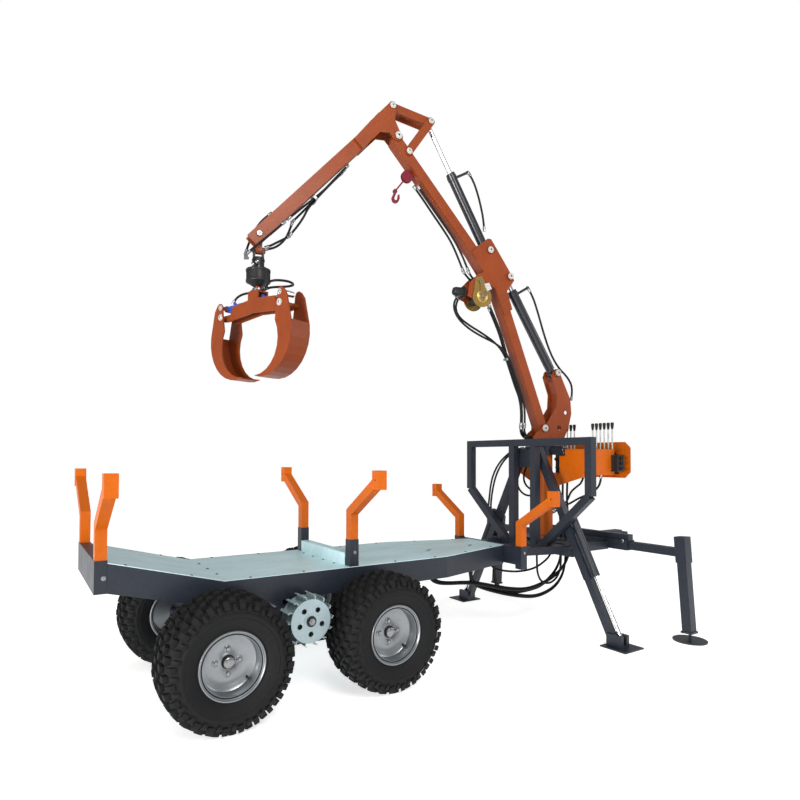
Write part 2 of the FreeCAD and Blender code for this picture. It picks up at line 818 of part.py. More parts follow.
def stakes():
    """Three pairs of bent stakes with a boxed end."""
    bolsters = (
        ("rear_face + stake_pocket / 2", "rear_beam_top - rear_beam_depth + pocket_floor", "rear_beam_top"),
        ("middle_bolster + stake_pocket / 2", "rail_top + deck_thickness + 2 * seat_gap + pocket_floor",
         "middle_pocket_top"),
        ("front_bolster + front_bolster_width / 2", "front_pocket_bottom + pocket_floor", "front_pocket_top"),
    )
    half = "stake_size / 2"
    mitre = "(%s) * tan(stake_slant / 2)" % half
    posts = []
    for ahead, floor, top in bolsters:
        for side in (1, -1):
            middle = "(pocket_outer - pocket_wall - seat_gap - stake_size / 2)"
            inner = "%s - %s" % (middle, half)
            outer = "%s + %s" % (middle, half)
            bend = "%s + stake_bend_rise" % top
            reach = "%s + stake_reach" % middle
            wall = "%s - stake_box_size / 2" % reach
            outline = [
                (inner, "%s + seat_gap" % floor),
                (inner, "%s + %s" % (bend, mitre)),
                (wall, "%s + %s + (%s - (%s)) / tan(stake_slant)" % (bend, mitre, wall, inner)),
                (wall, "%s - %s + (%s - (%s)) / tan(stake_slant)" % (bend, mitre, wall, outer)),
                (outer, "%s - %s" % (bend, mitre)),
                (outer, "%s + seat_gap" % floor),
            ]
            low = "%s - %s" % (ahead, half)
            high = "%s + %s" % (ahead, half)
            post = plate("YZ", [("%d * (%s)" % (side, across), up) for across, up in outline], low, high)
            limits = sided(side, wall, "%s + stake_box_size" % wall)
            box_top = "%s + stake_rise" % top
            end_box = block(("%s - stake_box_size / 2" % ahead, "%s + stake_box_size / 2" % ahead), limits,
                            ("%s - stake_box_height" % box_top, box_top))
            hole = rod("X", ("%d * (%s)" % (side, reach), "%s - stake_box_height / 2" % box_top),
                       "%s - stake_box_size" % ahead, "%s + stake_box_size" % ahead, "stake_hole_radius")
            posts.append(carve(join(post, end_box), hole))
    finish(gather(*posts), "stakes")


def headboard():
    """Tube guard that keeps the load off the crane."""
    rear = HEADBOARD_AHEAD + " - headboard_tube / 2"
    front = HEADBOARD_AHEAD + " + headboard_tube / 2"
    depth = (rear, front)
    top = ("headboard_top - headboard_tube", "headboard_top")
    pieces = [block(depth, ("-headboard_half", "headboard_half"), top)]
    base = "headboard_base_top - headboard_tube"
    splay_start = "(front_bolster + front_bolster_width)"
    spread = "(side_tube_outer - side_tube_start) / (splay_end - %s)" % splay_start
    reach = "side_tube_start - side_tube_width + (%s - %s) * %s - 2 * seat_gap" % (rear, splay_start, spread)
    pieces.append(block(depth, ("-(%s)" % reach, reach), (base, "headboard_base_top")))
    for side in (1, -1):
        limits = sided(side, "headboard_half - headboard_tube", "headboard_half")
        pieces.append(block(depth, limits, ("headboard_bend", "headboard_top")))
        start = ("%d * (headboard_half - headboard_tube / 2)" % side, "headboard_bend")
        end = ("%d * headboard_foot_half" % side, "headboard_base_top - headboard_tube / 4")
        pieces.append(beam("YZ", start, end, "headboard_tube", depth))
        limits = sided(side, "headboard_upright - headboard_tube / 2", "headboard_upright + headboard_tube / 2")
        pieces.append(block(depth, limits, (base, "headboard_top - headboard_tube / 2")))
    finish(join(*pieces), "headboard")


# --------------------------------------------------------- frame ahead of the bed

def subframe():
    """Splayed side tubes, crane cradle and the outriggers' cross beam."""
    low = "side_tube_bottom"
    high = "side_tube_bottom + side_tube_depth"
    start = "front_bolster + front_bolster_width + seat_gap"
    behind = "outrigger_ahead - outrigger_width / 2"
    ahead = "outrigger_ahead + outrigger_width / 2"
    pieces = []
    for side in (1, -1):
        pieces.append(plate("XY", [
            (start, "%d * side_tube_start" % side),
            ("splay_end", "%d * side_tube_outer" % side),
            ("splay_end", "%d * (side_tube_outer - side_tube_width)" % side),
            (start, "%d * (side_tube_start - side_tube_width)" % side),
        ], low, high))
        limits = sided(side, "side_tube_outer - side_tube_width", "side_tube_outer")
        pieces.append(block(("splay_end", behind), limits, (low, high)))
    cleat = "leg_foot - (brace_bottom + brace_depth / 2) * tan(leg_lean) - leg_tube / 2 / cos(leg_lean)"
    brace_half = "%s - brace_depth / 2 * tan(leg_lean) - seat_gap" % cleat
    pieces.append(block((BRACE_AHEAD, BRACE_AHEAD + " + brace_width"), ("-(%s)" % brace_half, brace_half),
                        ("brace_bottom", "brace_bottom + brace_depth")))
    pieces.append(block(("column_ahead - cradle_half", "column_ahead + cradle_half"),
                        ("-side_tube_outer + 10", "side_tube_outer - 10"), (low, high)))
    pieces.append(block(("column_ahead - base_plate_half", "column_ahead + base_plate_half"),
                        ("-base_plate_half", "base_plate_half"),
                        (high, "%s + base_plate_thickness" % high)))
    top = "outrigger_bottom + outrigger_depth"
    pieces.append(block((behind, ahead), ("-outrigger_half", "outrigger_half"), ("outrigger_bottom", top)))
    pieces.append(block(("outrigger_ahead - stiffener_width / 2", "outrigger_ahead + stiffener_width / 2"),
                        ("-outrigger_half", "outrigger_half"), (top, "%s + stiffener_height" % top)))
    hollows = []
    for side in (1, -1):
        limits = sided(side, "outrigger_wall", "outrigger_half + 1")
        hollows.append(block(("%s + outrigger_wall" % behind, "%s - outrigger_wall" % ahead), limits,
                             ("outrigger_bottom + outrigger_wall", "%s - outrigger_wall" % top)))
    finish(carve(join(*pieces), *hollows), "crane_subframe")


def drawbar():
    """Tongue with a towing eye, bolted to the cross beam."""
    start = "outrigger_ahead + outrigger_width / 2 + seat_gap"
    half = "drawbar_size / 2"
    centre = "outrigger_bottom + outrigger_depth / 2"
    tongue = block((start, "drawbar_end"), ("-(%s)" % half, half), ("%s - %s" % (centre, half),
                                                                 "%s + %s" % (centre, half)))
    flange = block((start, "%s + drawbar_flange" % start), ("-drawbar_flange_half", "drawbar_flange_half"),
                   ("outrigger_bottom", "outrigger_bottom + outrigger_depth"))
    low = "eye_height - eye_thickness / 2"
    high = "eye_height + eye_thickness / 2"
    ring = rod("Z", ("eye_ahead", "0"), low, high, "eye_radius + eye_rim")
    neck = block(("drawbar_end - 20", "eye_ahead"), ("-eye_radius", "eye_radius"), (low, high))
    hole = rod("Z", ("eye_ahead", "0"), low, high, "eye_radius")
    finish(carve(join(tongue, flange, neck, ring), hole), "drawbar")


# ------------------------------------------------------------ stabiliser frame

def leg_point(side, height, shift="0"):
    """A point beside a leg's centre line, shift outwards square to it."""
    along = "leg_foot - (%s) * tan(leg_lean) + (%s) * cos(leg_lean)" % (height, shift)
    return "%d * (%s)" % (side, along), "(%s) + (%s) * sin(leg_lean)" % (height, shift)


def leg_beam(side, low, high, size):
    """A square bar on a leg's centre line between two heights."""
    across = ("%s - (%s) / 2" % (LEG_AHEAD, size), "%s + (%s) / 2" % (LEG_AHEAD, size))
    return beam("YZ", leg_point(side, low), leg_point(side, high), size, across)


def leg_cylinder(side, low, high, shift, radius):
    """A round bar beside a leg between two heights."""
    first = leg_point(side, low, shift)
    thing = make("Part::Cylinder", Radius=radius, Height="((%s) - (%s)) / cos(leg_lean)" % (high, low))
    return put(thing, LEG_AHEAD, first[0], first[1], "rotation(vector(1; 0; 0); %d * leg_lean)" % side)


def stabiliser_frame():
    """Upright A of two leg tubes, joined at the top and braced to the column."""
    rear = LEG_AHEAD + " - leg_tube / 2"
    front = LEG_AHEAD + " + leg_tube / 2"
    pieces = [leg_beam(side, "leg_tube_end", "leg_top", "leg_tube") for side in (1, -1)]
    for depth in (("%s - cheek_thickness" % rear, rear), (front, "%s + cheek_thickness" % front)):
        pieces.append(plate("YZ", [
            ("-cheek_half", "leg_top - cheek_height"),
            ("-cheek_half / 2", "leg_top"),
            ("cheek_half / 2", "leg_top"),
            ("cheek_half", "leg_top - cheek_height"),
        ], *depth))
    pieces.append(block((front, "column_ahead - column_radius - seat_gap"), ("-leg_tube / 2", "leg_tube / 2"),
                        ("leg_top - cheek_height", "leg_top - cheek_height + leg_tube")))
    hollows = [leg_beam(side, "leg_tube_end - 20", "leg_top - cheek_height", "leg_bore") for side in (1, -1)]
    finish(carve(join(*pieces), *hollows), "stabiliser_frame")


def stabiliser_rams():
    """Cylinder barrels beside the leg tubes, carried by a clamp on each tube."""
    barrels = []
    for side in (1, -1):
        outer = leg_cylinder(side, "leg_tube_end", "ram_top", "ram_offset", "ram_radius")
        bore = leg_cylinder(side, "leg_tube_end + 20", "ram_top - 15", "ram_offset", "ram_bore")
        throat = leg_cylinder(side, "leg_tube_end - 1", "leg_tube_end + 21", "ram_offset",
                              "ram_rod + running_gap")
        start = leg_point(side, "ram_top - 60", "leg_tube / 2 + seat_gap")
        end = leg_point(side, "ram_top - 60", "ram_offset - ram_radius + 2")
        clamp = beam("YZ", start, end, "40", (LEG_AHEAD + " - 18", LEG_AHEAD + " + 18"))
        barrels.append(carve(join(outer, clamp), bore, throat))
    finish(gather(*barrels), "stabiliser_barrels")


def stabiliser_legs():
    """Sliding inner legs with their foot plates, and the rods that push them."""
    for side_name, side in SIDES:
        leg = leg_beam(side, "leg_inner_end", "leg_inner_top", "leg_size")
        middle = "leg_foot + foot_shift"
        limits = sided(side, "%s - foot_width / 2" % middle, "%s + foot_width / 2" % middle)
        sole = block((LEG_AHEAD + " - foot_length / 2", LEG_AHEAD + " + foot_length / 2"), limits,
                     ("0", "foot_thickness"))
        limits = sided(side, "leg_foot - shoe_half", "leg_foot + shoe_reach")
        shoe = block((LEG_AHEAD + " - shoe_half", LEG_AHEAD + " + shoe_half"), limits,
                     ("foot_thickness", "foot_thickness + shoe_height"))
        slot = block((LEG_AHEAD + " - 14", LEG_AHEAD + " + 14"),
                     sided(side, "leg_foot + 6", "leg_foot + shoe_reach + 1"),
                     ("foot_thickness + 10", "foot_thickness + shoe_height + 1"))
        finish(join(leg, sole, carve(shoe, slot)), "stabiliser_leg_%s" % side_name)
        rod_part = leg_cylinder(side, "foot_thickness + 14", "leg_tube_end + 60", "ram_offset", "ram_rod")
        finish(gather(rod_part), "stabiliser_rod_%s" % side_name)


# ------------------------------------------------------------------ outriggers

def post_beam(side, low, high, size):
    """A square bar on a jack post's centre line between two heights."""
    across = ("outrigger_ahead - (%s) / 2" % size, "outrigger_ahead + (%s) / 2" % size)
    start = ("%d * (post_foot - (%s) * tan(post_lean))" % (side, low), low)
    end = ("%d * (post_foot - (%s) * tan(post_lean))" % (side, high), high)
    return beam("YZ", start, end, size, across)


def outriggers():
    """Arms that slide out of the cross beam, each with a post for its jack leg."""
    bottom = "(outrigger_bottom + outrigger_wall + seat_gap)"
    for side_name, side in SIDES:
        reach = "post_foot - %s * tan(post_lean) - post_size / 2 + 4" % bottom
        arm = block(("outrigger_ahead - arm_size / 2", "outrigger_ahead + arm_size / 2"),
                    sided(side, "arm_inner", reach), (bottom, "%s + arm_size" % bottom))
        post = post_beam(side, "post_bottom", "post_top", "post_size")
        hollow = post_beam(side, "post_bottom - 10", "post_top + 10", "post_bore")
        finish(carve(join(arm, post), hollow), "outrigger_arm_%s" % side_name)
        leg = post_beam(side, "jack_end", "post_top - 2", "jack_size")
        collar = post_beam(side, "jack_end", "jack_end + jack_collar_height", "jack_collar")
        spot = ("outrigger_ahead", "%d * post_foot" % side)
        screw = rod("Z", spot, "jack_foot_thickness / 2", "jack_end + 5", "jack_screw")
        foot = rod("Z", spot, "0", "jack_foot_thickness", "jack_foot_radius")
        finish(join(leg, collar, screw, foot), "jack_leg_%s" % side_name)


# --------------------------------------------------- column, housing and console

def column():
    """Crane column on its bolted flange."""
    base = "side_tube_bottom + side_tube_depth + base_plate_thickness + seat_gap"
    spot = ("column_ahead", "0")
    tube = rod("Z", spot, base, "column_top", "column_radius")
    flange = rod("Z", spot, base, "%s + flange_thickness" % base, "flange_radius")
    finish(join(tube, flange), "crane_column")


def slew_housing():
    """Housing of the slewing rack at the top of the column."""
    spot = ("column_ahead", "0")
    body = rod("Z", spot, "column_top + seat_gap", "housing_top", "housing_radius")
    rack = rod("Y", ("column_ahead", "column_top + rack_radius + seat_gap"), "-rack_half", "rack_half",
               "rack_radius")
    finish(join(body, rack), "slew_housing")


def console():
    """Sheet steel console for the valves, on gussets at the column."""
    half = "console_plate / 2"
    span = ("column_ahead - %s" % half, "column_ahead + %s" % half)
    root = "column_radius + seat_gap"
    near = plate("YZ", [
        ("-(%s)" % root, "console_floor"),
        ("-(%s)" % root, "gusset_bottom"),
        ("-(%s) - 20" % root, "gusset_bottom"),
        ("-console_near", "console_floor - console_plate"),
        ("-console_near", "console_top"),
        ("-rack_half - console_plate", "console_top"),
        ("-rack_half - console_plate", "column_top - console_plate"),
        ("-panel_start", "column_top - console_plate"),
        ("-panel_start", "console_floor"),
    ], *span)
    far = plate("YZ", [
        (root, "console_top - 40"),
        (root, "gusset_bottom"),
        ("%s + 20" % root, "gusset_bottom"),
        ("console_far", "console_floor - console_plate"),
        ("console_far", "console_floor + 60"),
    ], *span)
    floor = block(("column_ahead + column_radius + 8", "front_wall"), ("-console_near", "front_wall_far"),
                  ("console_floor - console_plate", "console_floor"))
    tie = block(("column_ahead", "column_ahead + column_radius + 8"), ("-console_near", "-panel_start"),
                ("console_floor - console_plate", "console_floor"))
    side_wall = block(("column_ahead", "side_wall_end"), ("-console_near", "-console_near + console_plate"),
                      ("console_floor - console_plate", "console_top"))
    front = plate("YZ", [
        ("-front_wall_near + front_wall_chamfer", "front_wall_bottom"),
        ("front_wall_far - front_wall_chamfer", "front_wall_bottom"),
        ("front_wall_far", "front_wall_bottom + front_wall_chamfer"),
        ("front_wall_far", "front_wall_top - front_wall_chamfer"),
        ("front_wall_far - front_wall_chamfer", "front_wall_top"),
        ("-front_wall_near + front_wall_chamfer", "front_wall_top"),
        ("-front_wall_near", "front_wall_top - front_wall_chamfer"),
        ("-front_wall_near", "front_wall_bottom + front_wall_chamfer"),
    ], "front_wall", "front_wall + console_plate")
    far_tie = block(("column_ahead", "column_ahead + column_radius + 8"), ("panel_start - 20", "front_wall_far"),
                    ("console_floor - console_plate", "console_floor"))
    finish(join(near, far, floor, tie, far_tie, side_wall, front), "valve_console")


def valves():
    """Two banks of spool valves with their levers."""
    across = ("valve_ahead - valve_half", "valve_ahead + valve_half")
    body = block(across, ("-console_near + 15", "lever_first + 16"),
                 ("console_floor + seat_gap", "valve_top"))
    finish(gather(body), "valve_bank")
    levers = []
    for step in list(range(5)) + list(range(9, 15)):
        spot = ("valve_ahead", "lever_first - %d * lever_pitch" % step)
        stem = rod("Z", spot, "valve_top + seat_gap", "lever_top - 5", "lever_radius")
        knob = rod("Z", spot, "lever_top - knob_height", "lever_top", "knob_radius")
        levers.append(join(stem, knob))
    finish(gather(*levers), "valve_levers")


# ----------------------------------------------------------------------- crane

CRANE_TURN = "rotation(vector(0; 0; 1); 180 - crane_swing)"


def crane(thing, name):
    """Set a piece drawn in the crane's plane on the column's axis."""
    return finish(thing, name, "column_ahead", turn=CRANE_TURN)


def pin(out, up, half, radius="pin_radius"):
    """A pin across the crane's plane."""
    return rod("Y", (out, up), "-(%s)" % half, half, radius)


def cheeks(outline, inner, thickness):
    """Two like plates either side of the crane's plane."""
    return [plate("XZ", outline, low, high) for low, high in both(inner, "%s + %s" % (inner, thickness))]


def cheek_discs(out, up, radius, inner, length):
    """Round bosses either side of the crane's plane."""
    return [rod("Y", (out, up), low, high, radius) for low, high in both(inner, "%s + %s" % (inner, length))]


def kingpost():
    """Slewing base with two curved cheeks that carry the boom and its cylinder."""
    outline = [
        ("lift_foot_out + 14", "lift_foot_up + 27"),
        ("lift_foot_out + 46", "lift_foot_up - 20"),
        ("lift_foot_out", "lift_foot_up - 150"),
        ("lift_foot_out + 6", "lift_foot_up - 244"),
        ("boom_pin_out - 22", "boom_pin_up + 32"),
        ("boom_pin_out + 62", "boom_pin_up - 30"),
        ("boom_pin_out + 90", "boom_pin_up - 66"),
        ("boom_pin_out + 90", "housing_top + seat_gap"),
        ("boom_pin_out - 158", "housing_top + seat_gap"),
        ("boom_pin_out - 208", "boom_pin_up + 15"),
        ("lift_foot_out - 122", "lift_foot_up - 286"),
        ("lift_foot_out - 114", "lift_foot_up - 185"),
        ("lift_foot_out - 30", "lift_foot_up - 10"),
        ("lift_foot_out - 16", "lift_foot_up + 20"),
    ]
    web = [
        ("lift_foot_out + 16", "lift_foot_up - 60"),
        ("lift_foot_out - 20", "lift_foot_up - 150"),
        ("lift_foot_out - 14", "lift_foot_up - 244"),
        ("boom_pin_out - 95", "boom_pin_up + 10"),
        ("boom_pin_out - 95", "king_base_top - 5"),
        ("boom_pin_out - 105", "king_base_top - 5"),
        ("boom_pin_out - 105", "boom_pin_up + 12"),
        ("lift_foot_out - 24", "lift_foot_up - 246"),
        ("lift_foot_out - 30", "lift_foot_up - 148"),
        ("lift_foot_out + 4", "lift_foot_up - 60"),
    ]
    pieces = cheeks(outline, "king_inner", "king_plate")
    pieces.append(plate("XZ", web, "-king_inner", "king_inner"))
    pieces.append(rod("Z", ("0", "0"), "housing_top + seat_gap", "king_base_top", "king_base_radius"))
    outer = "king_inner + king_plate + boss_length"
    pieces += cheek_discs("boom_pin_out", "boom_pin_up", "boss_radius", "king_inner", "king_plate + 4")
    pieces += cheek_discs("lift_foot_out", "lift_foot_up", "boss_radius", "king_inner", "king_plate + boss_length")
    pieces.append(pin("boom_pin_out", "boom_pin_up", outer))
    pieces.append(pin("lift_foot_out", "lift_foot_up", "%s + 4" % outer))
    windows = [
        rod("Y", ("lift_foot_out - 74", "lift_foot_up - 280"), "-(%s)" % outer, outer, "14"),
        rod("Y", ("boom_pin_out - 125", "boom_pin_up + 6"), "-(%s)" % outer, outer, "18"),
    ]
    crane(carve(join(*pieces), *windows), "kingpost")


def main_boom():
    """Two-part boom with a plated knee."""
    half = "boom_width / 2"
    across = ("-(%s)" % half, half)
    run = "(knee_out - boom_pin_out)"
    rise = "(knee_up - boom_pin_up)"
    lower_length = "sqrt(%s^2 + %s^2)" % (run, rise)
    tail = ("boom_pin_out - boom_tail * %s / %s" % (run, lower_length),
            "boom_pin_up - boom_tail * %s / %s" % (rise, lower_length))
    run = "(elbow_out - knee_out)"
    rise = "(elbow_up - knee_up)"
    upper_length = "sqrt(%s^2 + %s^2)" % (run, rise)
    nose = ("elbow_out + elbow_inset * %s / %s" % (rise, upper_length),
            "elbow_up - elbow_inset * %s / %s" % (run, upper_length))
    pieces = [
        beam("XZ", tail, ("knee_out", "knee_up"), "boom_depth", across),
        beam("XZ", ("knee_out", "knee_up"), nose, "boom_depth", across),
        pin("elbow_out", "elbow_up", half, "boom_depth / 2 + 2"),
        pin("link_pin_out", "link_pin_up", half, "boss_radius"),
    ]
    knee = [
        ("fold_foot_out + 83", "fold_foot_up + 27"),
        ("fold_foot_out + 16", "fold_foot_up + 79"),
        ("fold_foot_out - 10", "fold_foot_up + 77"),
        ("lift_eye_out + 8", "lift_eye_up + 49"),
        ("lift_eye_out - 38", "lift_eye_up - 22"),
        ("lift_eye_out + 20", "lift_eye_up - 101"),
        ("knee_out - 108", "knee_up - 160"),
        ("knee_out - 46", "knee_up - 206"),
        ("knee_out + 22", "knee_up - 34"),
        ("knee_out + 115", "knee_up + 74"),
        ("fold_foot_out + 140", "fold_foot_up - 28"),
    ]
    pieces += cheeks(knee, half, "knee_plate")
    outer = "%s + knee_plate + boss_length" % half
    pieces += cheek_discs("lift_eye_out", "lift_eye_up", "boss_radius - 3", half, "knee_plate + boss_length")
    pieces += cheek_discs("fold_foot_out", "fold_foot_up", "boss_radius - 3", half, "knee_plate + boss_length")
    pieces.append(pin("fold_foot_out", "fold_foot_up", outer))
    pieces += cheek_discs("lift_eye_out", "lift_eye_up", "pin_radius", half, "knee_plate + boss_length + 5")
    link_outer = "lower_link_inner + link_plate + 6"
    whole = join(*pieces)
    bore = pin("boom_pin_out", "boom_pin_up", "boom_width", "pin_radius + running_gap")
    pins = [pin("elbow_out", "elbow_up", "jib_head_inner + jib_head_plate + 6"),
            pin("link_pin_out", "link_pin_up", link_outer)]
    crane(join(carve(whole, bore), *pins), "main_boom")


def links():
    """Rocker and connecting link that fold the jib."""
    rocker = []
    for low, high in both("lower_link_inner", "lower_link_inner + link_plate"):
        rocker.append(beam("XZ", ("link_pin_out", "link_pin_up"), ("crank_pin_out", "crank_pin_up"),
                           "2 * link_half_depth", (low, high)))
        for out, up in (("link_pin_out", "link_pin_up"), ("crank_pin_out", "crank_pin_up")):
            rocker.append(rod("Y", (out, up), low, high, "link_half_depth"))
    third = ("(0.55 * link_pin_out + 0.45 * crank_pin_out)", "(0.55 * link_pin_up + 0.45 * crank_pin_up)")
    further = ("(0.4 * link_pin_out + 0.6 * crank_pin_out)", "(0.4 * link_pin_up + 0.6 * crank_pin_up)")
    rocker.append(beam("XZ", third, further, "link_plate", ("-lower_link_inner", "lower_link_inner")))
    rocker += cheek_discs("crank_pin_out", "crank_pin_up", "pin_radius", "lower_link_inner", "link_plate + 6")
    bore = pin("link_pin_out", "link_pin_up", "2 * lower_link_inner", "pin_radius + running_gap")
    crane(carve(join(*rocker), bore), "lower_link")
    strap = []
    inner = "upper_link_outer - link_plate"
    for low, high in both(inner, "upper_link_outer"):
        strap.append(beam("XZ", ("tail_pin_out", "tail_pin_up"), ("crank_pin_out", "crank_pin_up"),
                          "2 * link_half_depth", (low, high)))
        for out, up in (("tail_pin_out", "tail_pin_up"), ("crank_pin_out", "crank_pin_up")):
            strap.append(rod("Y", (out, up), low, high, "link_half_depth"))
    third = ("(0.7 * tail_pin_out + 0.3 * crank_pin_out)", "(0.7 * tail_pin_up + 0.3 * crank_pin_up)")
    further = ("(0.35 * tail_pin_out + 0.65 * crank_pin_out)", "(0.35 * tail_pin_up + 0.65 * crank_pin_up)")
    strap.append(beam("XZ", third, further, "link_plate", ("-(%s)" % inner, inner)))
    bore = pin("tail_pin_out", "tail_pin_up", "2 * lower_link_inner", "pin_radius + running_gap")
    crane(carve(join(*strap), bore), "upper_link")


def jib():
    """Folding jib: a plated head over the boom's end and a tube out to the fork."""
    half = "jib_width / 2"
    across = ("-(%s)" % half, half)
    run = "(tip_pin_out - elbow_out - jib_line_out)"
    rise = "(tip_pin_up - elbow_up - jib_line_up)"
    length = "sqrt(%s^2 + %s^2)" % (run, rise)
    nose = ("tip_pin_out + jib_nose * %s / %s" % (run, length), "tip_pin_up + jib_nose * %s / %s" % (rise, length))
    head = [
        ("tail_pin_out + 12", "tail_pin_up + 26"),
        ("tail_pin_out - 26", "tail_pin_up + 10"),
        ("tail_pin_out - 16", "tail_pin_up - 92"),
        ("elbow_out - 26", "elbow_up - 4"),
        ("elbow_out - 8", "elbow_up - 34"),
        ("elbow_out + 24", "elbow_up - 30"),
        ("elbow_out + 62", "elbow_up + 8"),
        ("elbow_out + 123", "elbow_up + 3"),
        ("elbow_out + 192", "elbow_up - 71"),
        ("elbow_out + 243", "elbow_up - 128"),
        ("elbow_out + 300", "elbow_up - 74"),
        ("elbow_out + 193", "elbow_up + 58"),
    ]
    pieces = cheeks(head, "jib_head_inner", "jib_head_plate")
    fill = [
        ("elbow_out + 135", "elbow_up + 128"),
        ("elbow_out + 120", "elbow_up + 100"),
        ("elbow_out + 150", "elbow_up + 0"),
        ("elbow_out + 243", "elbow_up - 128"),
        ("elbow_out + 300", "elbow_up - 74"),
        ("elbow_out + 193", "elbow_up + 58"),
    ]
    pieces.append(plate("XZ", fill, "-jib_head_inner", "jib_head_inner"))
    tube_start = ("elbow_out + jib_tube_start",
                  "elbow_up + jib_line_up + (jib_tube_start - jib_line_out) * %s / %s" % (rise, run))
    pieces.append(beam("XZ", tube_start, nose, "jib_depth", across))
    pieces += cheek_discs("tail_pin_out", "tail_pin_up", "boss_radius", "jib_head_inner", "jib_head_plate")
    start = ("tip_pin_out - 48 * %s / %s" % (run, length), "tip_pin_up - 48 * %s / %s" % (rise, length))
    end = ("tip_pin_out + 90 * %s / %s" % (run, length), "tip_pin_up + 90 * %s / %s" % (rise, length))
    slot = beam("XZ", start, end, "jib_depth + 2", ("-jib_fork", "jib_fork"))
    bore = pin("elbow_out", "elbow_up", "boom_width", "pin_radius + running_gap")
    pins = [pin("tail_pin_out", "tail_pin_up", "jib_head_inner + jib_head_plate + 5"),
            pin("tip_pin_out", "tip_pin_up", "%s + 8" % half)]
    crane(join(carve(join(*pieces), slot, bore), *pins), "jib")


def crane_cylinder(name, foot, eye):
    """A cylinder from its foot pin to its rod's eye, drawn along X from the foot."""
    radius = name + "_barrel_radius"
    end = name + "_barrel_end"
    rod_radius = name + "_rod_radius"
    run = "((%s) - (%s))" % (eye[0], foot[0])
    rise = "((%s) - (%s))" % (eye[1], foot[1])
    length = "sqrt(%s^2 + %s^2)" % (run, rise)
    turn = CRANE_TURN + " * rotation(vector(0; 1; 0); -atan2(%s; %s))" % (rise, run)
    out = "column_ahead + (%s) * cos(180 - crane_swing)" % foot[0]
    aside = "(%s) * sin(180 - crane_swing)" % foot[0]
    shell = rod("X", ("0", "0"), "barrel_start", end, radius)
    neck = block(("0", "barrel_start + 6"), ("-eye_half", "eye_half"), ("-16", "16"))
    eye_end = rod("Y", ("0", "0"), "-eye_half", "eye_half", "boss_radius")
    hollow = rod("X", ("0", "0"), "barrel_start + 15", "%s - gland_length" % end,
                 "%s - barrel_wall" % radius)
    throat = rod("X", ("0", "0"), "barrel_start + 15", "%s + 1" % end, "%s + running_gap" % rod_radius)
    bore = rod("Y", ("0", "0"), "-eye_half - 1", "eye_half + 1", "pin_radius + running_gap")
    station = "%s - fitting_inset" % end
    fitting = rod("Z", (station, "0"), "%s - 2" % radius, "fitting_reach", "fitting_radius")
    ball = put(make("Part::Sphere", Radius="fitting_ball"), station, "0", "fitting_reach")
    barrel = join(carve(join(shell, neck, eye_end), hollow, throat, bore), fitting, ball)
    finish(barrel, name + "_barrel", out, aside, foot[1], turn)
    stem = rod("X", ("0", "0"), "barrel_start + %s_rod_inset" % name, length, rod_radius)
    rod_eye = rod("Y", (length, "0"), "-eye_half", "eye_half", "boss_radius - 3")
    finish(join(stem, rod_eye), name + "_rod", out, aside, foot[1], turn)


def winch():
    """Small winch under the knee: a drum and its motor on a bracket of two side plates and an end plate."""
    spot = ("0", "winch_up")
    drum = rod("X", spot, "winch_start", "winch_end + winch_plate", "winch_drum")
    flanges = [rod("X", spot, "winch_start", "winch_start + winch_flange", "winch_radius"),
               rod("X", spot, "winch_end - winch_flange", "winch_end", "winch_radius")]
    bracket = [
        ("knee_out + 22", "knee_up - 34"),
        ("knee_out + 115", "knee_up + 74"),
        ("knee_out + 169", "knee_up + 49"),
        ("winch_end + 60", "winch_up + 60"),
        ("winch_end + 60", "winch_up - 48"),
        ("winch_end", "winch_up - 48"),
        ("winch_end", "winch_up + 40"),
        ("knee_out + 70", "knee_up - 10"),
    ]
    inner = "(boom_width / 2 + knee_plate + seat_gap)"
    outer = "%s + winch_plate" % inner
    plates = cheeks(bracket, inner, "winch_plate")
    end_plate = block(("winch_end", "winch_end + winch_plate"), ("-(%s)" % outer, outer),
                      ("winch_up - 48", "winch_up + 60"))
    motor = rod("X", spot, "winch_end", "motor_end", "motor_radius")
    crane(join(drum, *flanges, *plates, end_plate, motor), "winch")


def boom_point(along, drop):
    """A point beside the upper boom, reckoned from the knee along it and square to its underside."""
    run = "(elbow_out - knee_out)"
    rise = "(elbow_up - knee_up)"
    length = "sqrt(%s^2 + %s^2)" % (run, rise)
    return ("knee_out + ((%s) * %s + (%s) * %s) / %s" % (along, run, drop, rise, length),
            "knee_up + ((%s) * %s - (%s) * %s) / %s" % (along, rise, drop, run, length))


